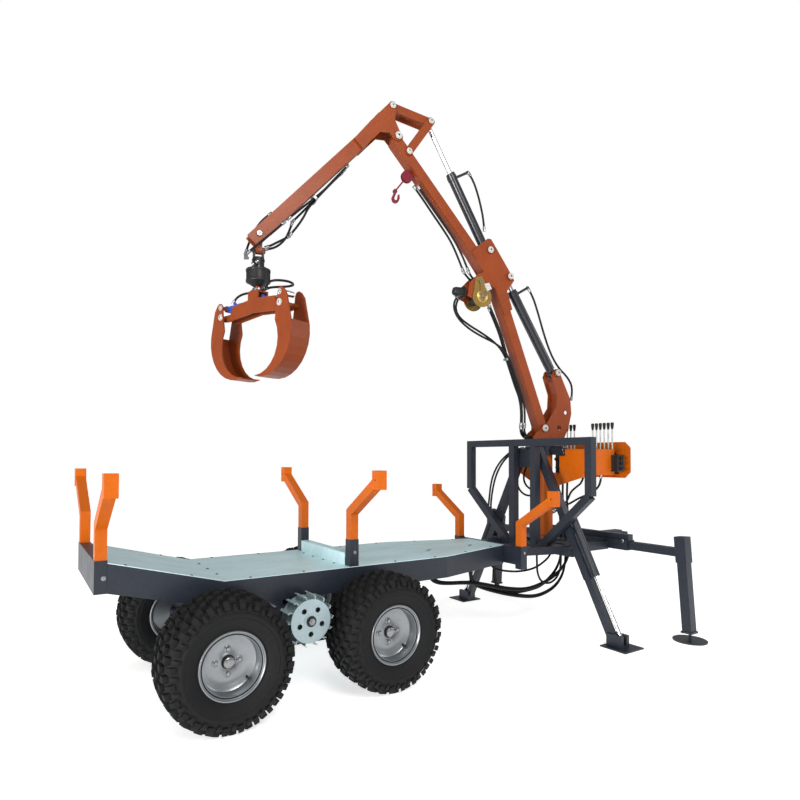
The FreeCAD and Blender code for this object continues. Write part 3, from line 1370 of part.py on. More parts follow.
def load_hook():
    """Snatch block under the boom's end, with a short rope and its hook."""
    centre = boom_point("pulley_along", "pulley_drop")
    sag = "elbow_inset * pulley_along / sqrt((elbow_out - knee_out)^2 + (elbow_up - knee_up)^2)"
    lug = beam("XZ", boom_point("pulley_along", "boom_depth / 2 + 2 * seat_gap + " + sag), centre, "30",
               ("-pulley_half", "pulley_half"))
    sheave = pin(*centre, half="pulley_half", radius="pulley_radius")
    sides = cheek_discs(*centre, radius="pulley_radius + 5", inner="pulley_half", length="4")
    rope = beam("XZ", centre, ("hook_out", "hook_up"), "2 * rope_radius", ("-rope_radius", "rope_radius"))
    eye = pin("hook_out", "hook_up", "hook_half", "14")
    curve = [
        ("hook_out + 6", "hook_up - 8"),
        ("hook_out + 23", "hook_up - 46"),
        ("hook_out + 18", "hook_up - 68"),
        ("hook_out", "hook_up - 78"),
        ("hook_out - 20", "hook_up - 70"),
        ("hook_out - 31", "hook_up - 46"),
        ("hook_out - 29", "hook_up - 18"),
        ("hook_out - 21", "hook_up - 20"),
        ("hook_out - 18", "hook_up - 44"),
        ("hook_out - 10", "hook_up - 58"),
        ("hook_out + 2", "hook_up - 60"),
        ("hook_out + 8", "hook_up - 50"),
        ("hook_out - 8", "hook_up - 10"),
    ]
    hook = plate("XZ", curve, "-hook_half", "hook_half")
    crane(join(lug, sheave, *sides, rope, eye, hook), "load_hook")


# ----------------------------------------------------------------------- hoses

def bent_tube(points, radius):
    """A tube through points: straight runs joined by tangent arcs, whose radii are printed."""
    edges = []
    last = points[0]
    bends = []
    for before, corner, after in zip(points, points[1:], points[2:]):
        back = before - corner
        onward = after - corner
        reach = 0.45 * min(back.Length, onward.Length)
        turn = math.pi - back.getAngle(onward)
        bend = reach / math.tan(turn / 2)
        back.normalize()
        onward.normalize()
        inward = back + onward
        inward.normalize()
        first = corner + back * reach
        second = corner + onward * reach
        middle = corner + inward * (bend / math.cos(turn / 2) - bend)
        edges.append(Part.LineSegment(last, first).toShape())
        edges.append(Part.Arc(first, middle, second).toShape())
        bends.append(round(bend))
        last = second
    edges.append(Part.LineSegment(last, points[-1]).toShape())
    path = Part.Wire(edges)
    start = Part.Wire([Part.makeCircle(radius, points[0], points[1] - points[0])])
    tube = path.makePipeShell([start], True, True)
    section = math.pi * radius ** 2
    print("hose bends", bends, "length", round(path.Length), "volume ratio",
          round(tube.Volume / (section * path.Length), 3))
    return tube


def hose_set(anchor, routes):
    """Hoses drawn through points (out, across, up) reckoned from an anchor."""
    base = FreeCAD.Vector(value(anchor[0]), 0, value(anchor[1]))
    tubes = []
    for route in routes:
        points = [base + FreeCAD.Vector(*spot) for spot in route]
        tubes.append(bent_tube(points, value("hose_radius")))
    thing = doc.addObject("Part::Feature", "hoses")
    thing.Shape = Part.makeCompound(tubes)
    return thing


def hoses():
    """Hydraulic hoses of the crane, each set riding on the piece that holds it."""
    crane(hose_set(("tip_pin_out", "tip_pin_up"), JIB_HOSES), "hoses_jib")
    crane(hose_set(("tip_pin_out", "tip_pin_up"), HANGER_HOSES), "hoses_hanger")
    crane(hose_set(("knee_out", "knee_up"), BOOM_HOSES), "hoses_boom")
    crane(hose_set(("fold_foot_out", "fold_foot_up"), FOLD_HOSES), "hose_fold")
    crane(hose_set(("lift_foot_out", "lift_foot_up"), LIFT_HOSES), "hose_lift")


# --------------------------------------------------------------------- grapple

def hanger():
    """Link that hangs from the jib's fork, with a cross pin at its foot."""
    eye = pin("tip_pin_out", "tip_pin_up", "hanger_half_width", "boss_radius")
    stem = block(("tip_pin_out - hanger_half_width", "tip_pin_out + hanger_half_width"),
                 ("-hanger_half_width", "hanger_half_width"), (HANGER_PIN, "tip_pin_up"))
    foot = rod("X", ("0", HANGER_PIN), "tip_pin_out - hanger_half_width",
               "tip_pin_out + hanger_half_width", "hanger_half_width")
    bore = pin("tip_pin_out", "tip_pin_up", "2 * hanger_half_width", "pin_radius + running_gap")
    cross = rod("X", ("0", HANGER_PIN), "tip_pin_out - 2 * hanger_half_width",
                "tip_pin_out + 2 * hanger_half_width", "jaw_pin_radius")
    crane(join(carve(join(eye, stem, foot), bore), cross), "hanger_link")


def rotator():
    """Hydraulic rotator: clevis, neck, ring and the cone under it."""
    spot = ("tip_pin_out", "0")
    body = rod("Z", spot, RING_BOTTOM, RING_TOP, "rotator_radius")
    neck = rod("Z", spot, RING_TOP + " - 1", ROTATOR_TOP, "rotator_neck_radius")
    cone = make("Part::Cone", Radius1="grapple_shaft_radius + 10", Radius2="rotator_radius",
                Height="rotator_cone")
    put(cone, *spot, ROTATOR_BOTTOM)
    gap = "hanger_half_width + 1"
    ears = []
    for sign in (1, -1):
        low = "tip_pin_out + (%s)" % gap if sign > 0 else "tip_pin_out - (%s) - hanger_cheek" % gap
        ears.append(block((low, "%s + hanger_cheek" % low), ("-hanger_half_width", "hanger_half_width"),
                          (ROTATOR_TOP + " - 20", HANGER_PIN + " + 18")))
    bore = rod("X", ("0", HANGER_PIN), "tip_pin_out - 3 * hanger_half_width",
               "tip_pin_out + 3 * hanger_half_width", "jaw_pin_radius + running_gap")
    crane(carve(join(body, neck, cone, *ears), bore), "rotator")


GRAPPLE_TURN = "rotation(vector(0; 0; 1); grapple_turn)"


def grapple(thing, name):
    """Set a piece drawn about the rotator's axis: X along the log, Y from jaw to jaw."""
    return finish(thing, name, "column_ahead + tip_pin_out * cos(180 - crane_swing)",
                  "tip_pin_out * sin(180 - crane_swing)", turn=GRAPPLE_TURN)


def grapple_frame():
    """Body of the grapple that turns under the rotator."""
    right_half = [
        ("grapple_neck_half", JAW_PIN_UP + " + 72"),
        ("jaw_pin - 78", JAW_PIN_UP + " + 58"),
        ("jaw_pin - 60", JAW_PIN_UP + " + 14"),
        ("jaw_pin + 14", JAW_PIN_UP + " + 12"),
        ("jaw_pin + 20", JAW_PIN_UP + " - 14"),
        ("jaw_pin", JAW_PIN_UP + " - 26"),
        ("jaw_pin - 40", JAW_PIN_UP + " - 30"),
        ("0", JAW_PIN_UP + " - 10"),
    ]
    outline = right_half + [("-(%s)" % across, up) for across, up in right_half[-2::-1]]
    low = "grapple_cheek_inner"
    high = "grapple_cheek_inner + grapple_cheek"
    shoulder = ROTATOR_BOTTOM + " - grapple_shaft"
    pieces = [plate("YZ", outline, *limits) for limits in both(low, high)]
    for limits in both(low, high):
        pieces.append(block(limits, ("-grapple_neck_half", "grapple_neck_half"),
                            (JAW_PIN_UP + " + 60", shoulder)))
    pieces.append(block(("-(%s)" % high, high), ("-grapple_neck_half", "grapple_neck_half"),
                        (shoulder + " - grapple_cap", shoulder)))
    pieces.append(rod("Z", ("0", "0"), shoulder + " - 1", ROTATOR_BOTTOM + " - seat_gap",
                      "grapple_shaft_radius"))
    end = "jaw_plate_inner + jaw_plate + 6"
    for sign in (1, -1):
        pieces.append(rod("X", ("%d * jaw_pin" % sign, JAW_PIN_UP), "-(%s)" % end, end, "jaw_pin_radius"))
    grapple(join(*pieces), "grapple_frame")


def arc_points(inset, drop, radius, first, last, steps):
    """Corners along an arc beside a jaw's pin, its centre inwards by inset and down by drop."""
    points = []
    for step in range(steps + 1):
        angle = first + (last - first) * step / steps
        points.append(("jaw_pin - %s + (%s) * cos(%s)" % (inset, radius, angle),
                       "%s - %s + (%s) * sin(%s)" % (JAW_PIN_UP, drop, radius, angle)))
    return points


def jaws():
    """Two curved jaws of plates and a bent shell, which close under a log."""
    outside = arc_points("shell_inset", "shell_inset", "shell_radius", 20, -105, 10)
    throat = arc_points("throat_inset", "throat_drop", "throat_radius", -90, 30, 8)
    ear = [
        ("jaw_pin - 24", JAW_PIN_UP),
        ("jaw_pin - 18", RAM_PIN_UP + " + 3"),
        ("jaw_pin - 6", RAM_PIN_UP + " + 23"),
        ("jaw_pin + 14", RAM_PIN_UP + " + 27"),
        ("jaw_pin + 34", RAM_PIN_UP + " + 15"),
        ("jaw_pin + 60", RAM_PIN_UP + " - 19"),
    ]
    shell_out = arc_points("shell_inset", "shell_inset", "shell_radius", 10, -100, 10)
    shell_in = arc_points("shell_inset", "shell_inset", "shell_radius - shell_thickness", -100, 10, 10)
    outer = "jaw_plate_inner + jaw_plate"
    for side_name, side in SIDES:
        marks = [("%d * (%s)" % (side, across), up) for across, up in ear + outside + throat]
        bend = [("%d * (%s)" % (side, across), up) for across, up in shell_out + shell_in]
        shell = plate("YZ", bend, "-jaw_plate_inner", "jaw_plate_inner")
        sides_here = [plate("YZ", marks, *limits) for limits in both("jaw_plate_inner", outer)]
        bore = rod("X", ("%d * jaw_pin" % side, JAW_PIN_UP), "-(%s)" % outer, outer,
                   "jaw_pin_radius + running_gap")
        whole = carve(join(shell, *sides_here), bore)
        ends = [("-(%s) - 5" % outer, outer + " + 5")]
        if side < 0:
            ends = both("jaw_plate_inner + 1", outer + " + 5")
        studs = [rod("X", ("%d * jaw_pin" % side, RAM_PIN_UP), low, high, "jaw_pin_radius")
                 for low, high in ends]
        grapple(join(whole, *studs), "jaw_%s" % side_name)


def grapple_cylinder():
    """Cylinder that spreads or closes the jaws' upper ends."""
    level = RAM_PIN_UP
    half = "grapple_barrel_radius + 4"
    back = "grapple_barrel_back"
    eye = rod("X", ("jaw_pin", level), "-(%s)" % half, half, "jaw_pin_radius + 8")
    shell = rod("Y", ("0", level), "-%s" % back, "jaw_pin - 16", "grapple_barrel_radius")
    hollow = rod("Y", ("0", level), "20 - %s" % back, "jaw_pin - 26", "grapple_barrel_radius - 4")
    throat = rod("Y", ("0", level), "-%s - 1" % back, "21 - %s" % back, "grapple_rod_radius + running_gap")
    bore = rod("X", ("jaw_pin", level), "-(%s) - 1" % half, "%s + 1" % half, "jaw_pin_radius + running_gap")
    grapple(carve(join(eye, shell), hollow, throat, bore), "grapple_barrel")
    stem = rod("Y", ("0", level), "-jaw_pin", "50 - %s" % back, "grapple_rod_radius")
    rod_eye = rod("X", ("-jaw_pin", level), "-(%s)" % half, half, "jaw_pin_radius + 6")
    grapple(join(stem, rod_eye), "grapple_rod")


wheels()
bogies()
rollers()
bed_frame()
deck()
middle_bolster()
stakes()
headboard()
subframe()
drawbar()
stabiliser_frame()
stabiliser_rams()
stabiliser_legs()
outriggers()
column()
slew_housing()
console()
valves()
kingpost()
main_boom()
links()
jib()
crane_cylinder("lift", ("lift_foot_out", "lift_foot_up"), ("lift_eye_out", "lift_eye_up"))
crane_cylinder("fold", ("fold_foot_out", "fold_foot_up"), ("crank_pin_out", "crank_pin_up"))
winch()
load_hook()
hoses()
hanger()
rotator()
grapple_frame()
jaws()
grapple_cylinder()

doc.recompute()
faults = [item.Label for item in doc.Objects if "Invalid" in item.State or "Error" in item.State]
for item in PARTS:
    if item.Shape.isNull() or not item.Shape.isValid():
        faults.append(item.Label)
if faults:
    raise RuntimeError("failed: " + ", ".join(faults))
os.makedirs("parts", exist_ok=True)
for item in PARTS:
    item.Shape.exportStep("parts/%s.step" % item.Label)
    print(item.Label, len(item.Shape.Solids), round(item.Shape.Volume / 1000), "cm3")
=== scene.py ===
"""Look of the timber trailer: materials, tread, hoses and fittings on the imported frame."""
import json
import math

import bmesh
import bpy
from mathutils import Matrix, Vector


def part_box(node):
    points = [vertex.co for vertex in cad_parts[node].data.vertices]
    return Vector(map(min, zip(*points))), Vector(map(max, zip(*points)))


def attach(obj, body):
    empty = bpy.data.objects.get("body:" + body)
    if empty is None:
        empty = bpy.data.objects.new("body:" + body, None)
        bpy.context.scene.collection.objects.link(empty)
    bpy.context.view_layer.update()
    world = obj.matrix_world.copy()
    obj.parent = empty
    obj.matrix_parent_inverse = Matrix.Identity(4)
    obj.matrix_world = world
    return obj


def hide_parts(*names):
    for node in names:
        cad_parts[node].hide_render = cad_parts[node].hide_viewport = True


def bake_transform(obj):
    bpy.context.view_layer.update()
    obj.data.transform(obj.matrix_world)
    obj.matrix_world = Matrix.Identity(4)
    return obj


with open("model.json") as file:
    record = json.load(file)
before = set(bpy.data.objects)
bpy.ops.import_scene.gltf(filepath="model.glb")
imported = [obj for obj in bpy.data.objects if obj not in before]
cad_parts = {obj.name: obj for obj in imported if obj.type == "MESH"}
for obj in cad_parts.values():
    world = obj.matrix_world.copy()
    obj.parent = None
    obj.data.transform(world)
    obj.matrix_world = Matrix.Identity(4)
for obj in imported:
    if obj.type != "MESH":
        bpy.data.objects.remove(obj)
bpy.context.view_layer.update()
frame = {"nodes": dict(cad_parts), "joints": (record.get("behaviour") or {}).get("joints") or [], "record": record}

NODES = frame["nodes"]
JOINTS = {joint["name"]: joint for joint in frame["joints"]}
SLOT_OF = {entry["node"]: entry["material_slot"] for entry in frame["record"]["subparts"]}
MM = 0.001
UP = Vector((0, 0, 1))
ROWX = Vector((1, 0, 0))
LEFT = Vector((0, 1, 0))
SIDES = (("left", 1), ("right", -1))
WHEELS = [(side + "_" + end, sign) for side, sign in SIDES for end in ("front", "rear")]


# ------------------------------------------------------------------------ places

def pivot(joint):
    """Where a joint turns, in metres."""
    return Vector(JOINTS[joint]["pos_m"])


def box(node):
    """Lowest and highest corner of a node at rest, in metres."""
    low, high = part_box(node)
    return Vector(low), Vector(high)


SHAFT = [(low + high) / 2 for low, high in zip(*box("bogie_shaft"))]
COLUMN = pivot("slew")
ACROSS = Vector(JOINTS["boom_lower"]["axis"])
OUT = ACROSS.cross(UP)


def at(ahead, aside, up):
    """A point from millimetres measured ahead of the bogie shaft, to the left and up."""
    return Vector((SHAFT[0] + ahead * MM, aside * MM, up * MM))


def crane(out, across, up):
    """A point from the crane's own millimetres: out from the column, across its plane and up."""
    return Vector((COLUMN.x, COLUMN.y, 0)) + (OUT * out + ACROSS * across + UP * up) * MM


def facing(point, axis, side=UP):
    """A placing matrix in millimetres: Z along an axis at a point, Y as near to side as it can be."""
    z = Vector(axis).normalized()
    if abs(z.dot(side)) > 0.95:
        side = ROWX
    x = side.cross(z).normalized()
    turn = Matrix((x, z.cross(x), z)).transposed().to_4x4()
    return Matrix.Translation(point) @ turn @ Matrix.Scale(MM, 4)


def link(name, data):
    """Put a new object with this data into the scene."""
    thing = bpy.data.objects.new(name, data)
    bpy.context.scene.collection.objects.link(thing)
    return thing


def circle(radius, steps, phase=0.0):
    """(x, y) of points evenly round a circle, the first one a share of a step on."""
    angles = [2 * math.pi * (step + phase) / steps for step in range(steps)]
    return [(radius * math.cos(a), radius * math.sin(a)) for a in angles]


# ------------------------------------------------------------------ camera, light

CAMERA_AT = at(-1156.4, -2787.4, 1110.1)
CAMERA_YAW = 31.80
CAMERA_PITCH = 1.48
CAMERA_ROLL = 0.24


def place_camera():
    data = bpy.data.cameras.new("camera")
    camera = link("camera", data)
    data.sensor_width = 36
    data.lens = 25.73
    data.shift_x = 0.0413
    data.shift_y = 0.0547
    data.clip_end = 100
    turn = Matrix.Rotation(math.radians(-CAMERA_YAW), 4, "Z")
    tilt = Matrix.Rotation(math.radians(90 + CAMERA_PITCH), 4, "X")
    roll = Matrix.Rotation(math.radians(CAMERA_ROLL), 4, "Z")
    camera.matrix_world = Matrix.Translation(CAMERA_AT) @ turn @ tilt @ roll
    bpy.context.scene.camera = camera


def area_light(name, place, target, size, power, colour=(1, 1, 1)):
    data = bpy.data.lights.new(name, "AREA")
    data.size = size
    data.energy = power
    data.color = colour
    lamp = link(name, data)
    lamp.location = place
    lamp.rotation_mode = "QUATERNION"
    lamp.rotation_quaternion = (Vector(target) - Vector(place)).to_track_quat("-Z", "Y")


def light_studio():
    """A white room: seen as pure white, it lights the object softly, and three lamps give form."""
    world = bpy.data.worlds.new("studio")
    bpy.context.scene.world = world
    world.use_nodes = True
    tree = world.node_tree
    backdrop = tree.nodes["Background"]
    backdrop.inputs["Color"].default_value = (1, 1, 1, 1)
    glow = tree.nodes.new("ShaderNodeLightPath")
    level = spread(tree, glow.outputs["Is Camera Ray"], 0.40, 1.0)
    tree.links.new(level, backdrop.inputs["Strength"])
    area_light("key", (-1.6, -5.4, 4.8), (0.2, 0, 1.0), 2.6, 240, (1, 0.98, 0.95))
    area_light("side", (-8.0, -2.6, 1.2), (0.6, 0, 1.2), 2.4, 560, (1, 0.97, 0.93))
    area_light("front", (4.6, -3.4, 3.0), (0.6, 0, 0.9), 2.2, 60)
    bpy.context.scene.view_settings.view_transform = "Standard"


# --------------------------------------------------------------------- materials

def shader(name):
    material = bpy.data.materials.new(name)
    material.use_nodes = True
    tree = material.node_tree
    return material, tree, tree.nodes["Principled BSDF"]


def add_node(tree, kind, values, sources):
    """A new shader node with some inputs set and some linked."""
    made = tree.nodes.new("ShaderNode" + kind)
    for name, value in values.items():
        made.inputs[name].default_value = value
    for name, source in sources.items():
        tree.links.new(source, made.inputs[name])
    return made


def noise(tree, scale, detail=6, rough=0.6, stretch=None):
    """A noise texture on object coordinates, stretched along some axes if wanted."""
    source = tree.nodes.new("ShaderNodeTexCoord").outputs["Object"]
    if stretch:
        source = add_node(tree, "Mapping", {"Scale": stretch}, {"Vector": source}).outputs["Vector"]
    values = {"Scale": scale, "Detail": detail, "Roughness": rough}
    return add_node(tree, "TexNoise", values, {"Vector": source}).outputs["Fac"]


def ramp(tree, source, stops):
    """Colours along a source's range, as (place, colour) stops."""
    made = add_node(tree, "ValToRGB", {}, {"Fac": source})
    elements = made.color_ramp.elements
    while len(elements) < len(stops):
        elements.new(0.5)
    for element, (place, colour) in zip(elements, stops):
        element.position = place
        element.color = (*colour, 1)
    return made.outputs["Color"]


def spread(tree, source, low, high):
    """A source from 0 to 1 laid over another range."""
    return add_node(tree, "MapRange", {"To Min": low, "To Max": high}, {"Value": source}).outputs["Result"]


def multiply(tree, base, layer, factor):
    mix = tree.nodes.new("ShaderNodeMix")
    mix.data_type = "RGBA"
    mix.blend_type = "MULTIPLY"
    mix.inputs["Factor"].default_value = factor
    tree.links.new(base, mix.inputs["A"])
    tree.links.new(layer, mix.inputs["B"])
    return mix.outputs["Result"]


def bump(tree, bsdf, source, strength, distance):
    made = add_node(tree, "Bump", {"Strength": strength, "Distance": distance}, {"Height": source})
    tree.links.new(made.outputs["Normal"], bsdf.inputs["Normal"])


def shade(colour, factor):
    return tuple(min(1, c * factor) for c in colour)


def paint(name, colour, dark=0.84, light=1.1, rough=(0.28, 0.5), coat=0.1, dust=0.12, metallic=0.0,
          gloss=0.3):
    """Sprayed paint: a slow drift of shade, orange peel and a little dust."""
    material, tree, bsdf = shader(name)
    drift = noise(tree, 3.5, 8, 0.65)
    tint = ramp(tree, drift, [(0.3, shade(colour, dark)), (0.55, colour), (0.75, shade(colour, light))])
    specks = ramp(tree, noise(tree, 60, 4, 0.7), [(0.35, (0.4, 0.38, 0.36)), (0.6, (1, 1, 1))])
    tree.links.new(multiply(tree, tint, specks, dust), bsdf.inputs["Base Color"])
    tree.links.new(spread(tree, noise(tree, 12, 5), *rough), bsdf.inputs["Roughness"])
    bsdf.inputs["Coat Weight"].default_value = coat
    bsdf.inputs["Coat Roughness"].default_value = 0.2
    bsdf.inputs["Metallic"].default_value = metallic
    bsdf.inputs["Specular IOR Level"].default_value = gloss
    bump(tree, bsdf, noise(tree, 160, 3), 0.05, 0.0005)
    return material


def metal(name, colour, rough):
    """Bare or plated metal with a fine grain."""
    material, tree, bsdf = shader(name)
    grain = noise(tree, 90, 5, 0.6)
    tree.links.new(ramp(tree, grain, [(0.3, shade(colour, 0.75)), (0.7, colour)]), bsdf.inputs["Base Color"])
    tree.links.new(spread(tree, grain, *rough), bsdf.inputs["Roughness"])
    bsdf.inputs["Metallic"].default_value = 1.0
    bump(tree, bsdf, grain, 0.08, 0.0004)
    return material


def rubber(name, colour, rough=(0.55, 0.8), scale=80, strength=0.3, dusty=None):
    """Rubber or plastic with a fine grain, and dust on it if a colour is given."""
    material, tree, bsdf = shader(name)
    grain = noise(tree, scale, 6, 0.7)
    tint = ramp(tree, grain, [(0.3, shade(colour, 0.6)), (0.7, shade(colour, 1.5))])
    if dusty:
        layer = tree.nodes.new("ShaderNodeMix")
        layer.data_type = "RGBA"
        patches = spread(tree, noise(tree, 7, 8, 0.7), 0, 0.55)
        tree.links.new(patches, layer.inputs["Factor"])
        tree.links.new(tint, layer.inputs["A"])
        layer.inputs["B"].default_value = (*dusty, 1)
        tint = layer.outputs["Result"]
    tree.links.new(tint, bsdf.inputs["Base Color"])
    tree.links.new(spread(tree, grain, *rough), bsdf.inputs["Roughness"])
    bsdf.inputs["Specular IOR Level"].default_value = 0.16
    bump(tree, bsdf, grain, strength, 0.0008)
    return material


def galvanised(name, colour):
    """Zinc spangle: flat crystals of slightly different brightness under a faint stain."""
    material, tree, bsdf = shader(name)
    coords = tree.nodes.new("ShaderNodeTexCoord")
    cells = add_node(tree, "TexVoronoi", {"Scale": 55}, {"Vector": coords.outputs["Object"]})
    stain = noise(tree, 2.2, 9, 0.7, (1, 2.5, 1))
    tint = ramp(tree, stain, [(0.3, shade(colour, 0.82)), (0.5, colour), (0.72, shade(colour, 1.1))])
    spangle = ramp(tree, cells.outputs["Color"], [(0.1, (0.86, 0.88, 0.89)), (0.9, (1, 1, 1))])
    tree.links.new(multiply(tree, tint, spangle, 0.5), bsdf.inputs["Base Color"])
    tree.links.new(spread(tree, stain, 0.3, 0.55), bsdf.inputs["Roughness"])
    bsdf.inputs["Metallic"].default_value = 0.2
    bump(tree, bsdf, stain, 0.1, 0.001)
    return material


MATERIAL = {
    "frame_grey": paint("frame_grey", (0.017, 0.022, 0.033), rough=(0.3, 0.5), dust=0.25, coat=0.05),
    "orange": paint("orange", (0.50, 0.100, 0.002), rough=(0.34, 0.5), dark=0.88, gloss=0.15),
    "crane_orange": paint("crane_orange", (0.215, 0.040, 0.008), rough=(0.36, 0.52), dark=0.82, dust=0.1,
                          gloss=0.22),
    "galvanised": galvanised("galvanised", (0.56, 0.76, 0.80)),
    "rim_silver": paint("rim_silver", (0.27, 0.29, 0.31), rough=(0.26, 0.42), metallic=0.8, dust=0.1),
    "tyre_black": rubber("tyre_black", (0.006, 0.0064, 0.0075), dusty=(0.012, 0.012, 0.012)),
    "cylinder_black": paint("cylinder_black", (0.012, 0.014, 0.02), rough=(0.22, 0.4), coat=0.4),
    "chrome": metal("chrome", (0.85, 0.86, 0.88), (0.06, 0.16)),
    "zinc": metal("zinc", (0.50, 0.32, 0.10), (0.25, 0.45)),
    "steel": metal("steel", (0.30, 0.31, 0.32), (0.25, 0.42)),
    "roller_zinc": galvanised("roller_zinc", (0.36, 0.46, 0.49)),
    "white_steel": paint("white_steel", (0.50, 0.51, 0.50), rough=(0.25, 0.4), dust=0.1, metallic=0.2),
    "cast_black": paint("cast_black", (0.010, 0.011, 0.013), rough=(0.35, 0.6), coat=0.1, dust=0.3),
    "lever": rubber("lever", (0.010, 0.010, 0.010), (0.3, 0.5), 120, 0.1),
    "blue": paint("blue", (0.015, 0.07, 0.42), rough=(0.2, 0.35), coat=0.4),
    "hose_black": rubber("hose_black", (0.006, 0.006, 0.007), (0.35, 0.55), 150, 0.2),
    "crimson": paint("crimson", (0.15, 0.004, 0.016), rough=(0.3, 0.45)),
    "floor": paint("floor", (0.93, 0.93, 0.93), dark=0.99, light=1.0, rough=(0.7, 0.8), coat=0, dust=0.0),
}
# The floor glows a little, so that it runs into the backdrop with no horizon
FLOOR_SHADER = MATERIAL["floor"].node_tree.nodes["Principled BSDF"]
FLOOR_SHADER.inputs["Emission Color"].default_value = (1, 1, 1, 1)
FLOOR_SHADER.inputs["Emission Strength"].default_value = 0.62


# ------------------------------------------------------------------ building tools

class Shape:
    """A mesh being built; every solid goes through a placing matrix in millimetres."""

    def __init__(self):
        self.mesh = bmesh.new()

    def loop(self, place, points):
        return [self.mesh.verts.new(place @ Vector(point)) for point in points]

    def skin(self, low, high):
        """Faces between two rings of corners, either of which may be a single point."""
        count = max(len(low), len(high))
        for step in range(count):
            following = (step + 1) % count
            corners = []
            for ring, place in ((low, step), (low, following), (high, following), (high, step)):
                corner = ring[place % len(ring)]
                if corner not in corners:
                    corners.append(corner)
            if len(corners) > 2:
                self.mesh.faces.new(corners)

    def cap(self, low, high):
        """Flat ends on the lowest and highest ring."""
        self.mesh.faces.new(low[::-1])
        self.mesh.faces.new(high)

    def stack(self, rings):
        """Sides between rings, one above the other."""
        for low, high in zip(rings, rings[1:]):
            self.skin(low, high)

    def lathe(self, place, profile, steps=24, closed=False):
        """Revolve (radius, height) points about Z."""
        rings = []
        for radius, height in profile:
            if radius == 0:
                rings.append(self.loop(place, [(0, 0, height)]))
                continue
            rings.append(self.loop(place, [(x, y, height) for x, y in circle(radius, steps)]))
        self.stack(rings)
        if closed:
            self.skin(rings[-1], rings[0])

    def disc(self, place, radius, low, high, steps):
        """A plain round or many-sided boss between two heights."""
        self.lathe(place, [(0, low), (radius, low), (radius, high), (0, high)], steps)

    def prism(self, place, outline, low, high):
        """An outline of (x, y) points pulled up along Z."""
        bottom = self.loop(place, [(x, y, low) for x, y in outline])
        top = self.loop(place, [(x, y, high) for x, y in outline])
        self.skin(bottom, top)
        self.cap(bottom, top)

    def bar(self, place, x, y, z, bevel=1.5):
        """A box between limits along each axis, its upright edges and rims chamfered."""
        outline = [
            (x[0] + bevel, y[0]), (x[1] - bevel, y[0]), (x[1], y[0] + bevel), (x[1], y[1] - bevel),
            (x[1] - bevel, y[1]), (x[0] + bevel, y[1]), (x[0], y[1] - bevel), (x[0], y[0] + bevel),
        ]
        middle = ((x[0] + x[1]) / 2, (y[0] + y[1]) / 2)
        inset = [
            (middle[0] + (px - middle[0]) * (1 - 2 * bevel / (x[1] - x[0])),
             middle[1] + (py - middle[1]) * (1 - 2 * bevel / (y[1] - y[0]))) for px, py in outline
        ]
        levels = ((inset, z[0]), (outline, z[0] + bevel), (outline, z[1] - bevel), (inset, z[1]))
        rings = [self.loop(place, [(px, py, height) for px, py in ring]) for ring, height in levels]
        self.stack(rings)
        self.cap(rings[0], rings[-1])

    def tube(self, points, radius, steps=10):
        """A round bar through points in metres."""
        rings = []
        side = UP
        for index, point in enumerate(points):
            before = points[max(index - 1, 0)]
            after = points[min(index + 1, len(points) - 1)]
            place = facing(point, after - before, side)
            side = place.to_3x3() @ Vector((0, 1, 0))
            side.normalize()
            rings.append(self.loop(place, [(x, y, 0) for x, y in circle(radius, steps)]))
        self.stack(rings)
        self.cap(rings[0], rings[-1])

    def bolt(self, point, axis, size, washer=True):
        """A hexagon head on a washer; size is the thread's diameter."""
        place = facing(point, axis)
        rise = 0
        if washer:
            rise = size * 0.2
            self.disc(place, size * 1.1, 0, rise, 16)
        head = size * 0.62
        self.lathe(place, [(0, rise), (size * 0.92, rise), (size * 0.92, rise + head * 0.8),
                           (size * 0.78, rise + head), (0, rise + head)], 6)

    def pin_end(self, point, axis, radius):
        """The end of a pivot pin: a washer and a turned head with a hollow centre."""
        self.lathe(facing(point, axis), [
            (0, 0), (radius + 7, 0), (radius + 7, 2.2), (radius + 6, 3), (radius + 1, 3), (radius + 1, 7.5),
            (radius - 1, 9), (radius * 0.5, 9), (radius * 0.42, 5), (0, 5),
        ], 28)

    def pin_painted_shade(self, point, axis, radius):
        """A black disc at the floor of the hollow in a pin's head: painted shade in the recess."""
        self.lathe(facing(point + axis * 4.8 * MM, axis), [
            (0, 0), (radius * 0.4, 0), (radius * 0.34, 1), (0, 1)], 16)

    def data(self, name, outward=True):
        """The mesh that was built, its faces turned outward."""
        if outward:
            bmesh.ops.recalc_face_normals(self.mesh, faces=self.mesh.faces)
        data = bpy.data.meshes.new(name)
        self.mesh.to_mesh(data)
        self.mesh.free()
        return data

    def piece(self, name, body, material, slot=None):
        """Turn what was built into a piece that rides on a body."""
        return show(name, self.data(name), body, material)


def show(name, data, body, material, sharp=35):
    """Link a mesh as a piece with its material; a piece given no body rides on none."""
    data.shade_smooth()
    data.set_sharp_from_angle(angle=math.radians(sharp))
    thing = link(name, data)
    if not data.materials:
        data.materials.append(MATERIAL[material])
    if body:
        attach(thing, body)
    return thing


# ------------------------------------------------------------------------- hoses

# Outside diameter of every hose in millimetres
HOSE = 14
HOSE_RADIUS = HOSE / 2
KNEE = crane(410, 0, 2303)
TIP = pivot("hanger_swing")
FOLD_FOOT = pivot("fold_barrel_turn")
LIFT_FOOT = pivot("lift_barrel_turn")

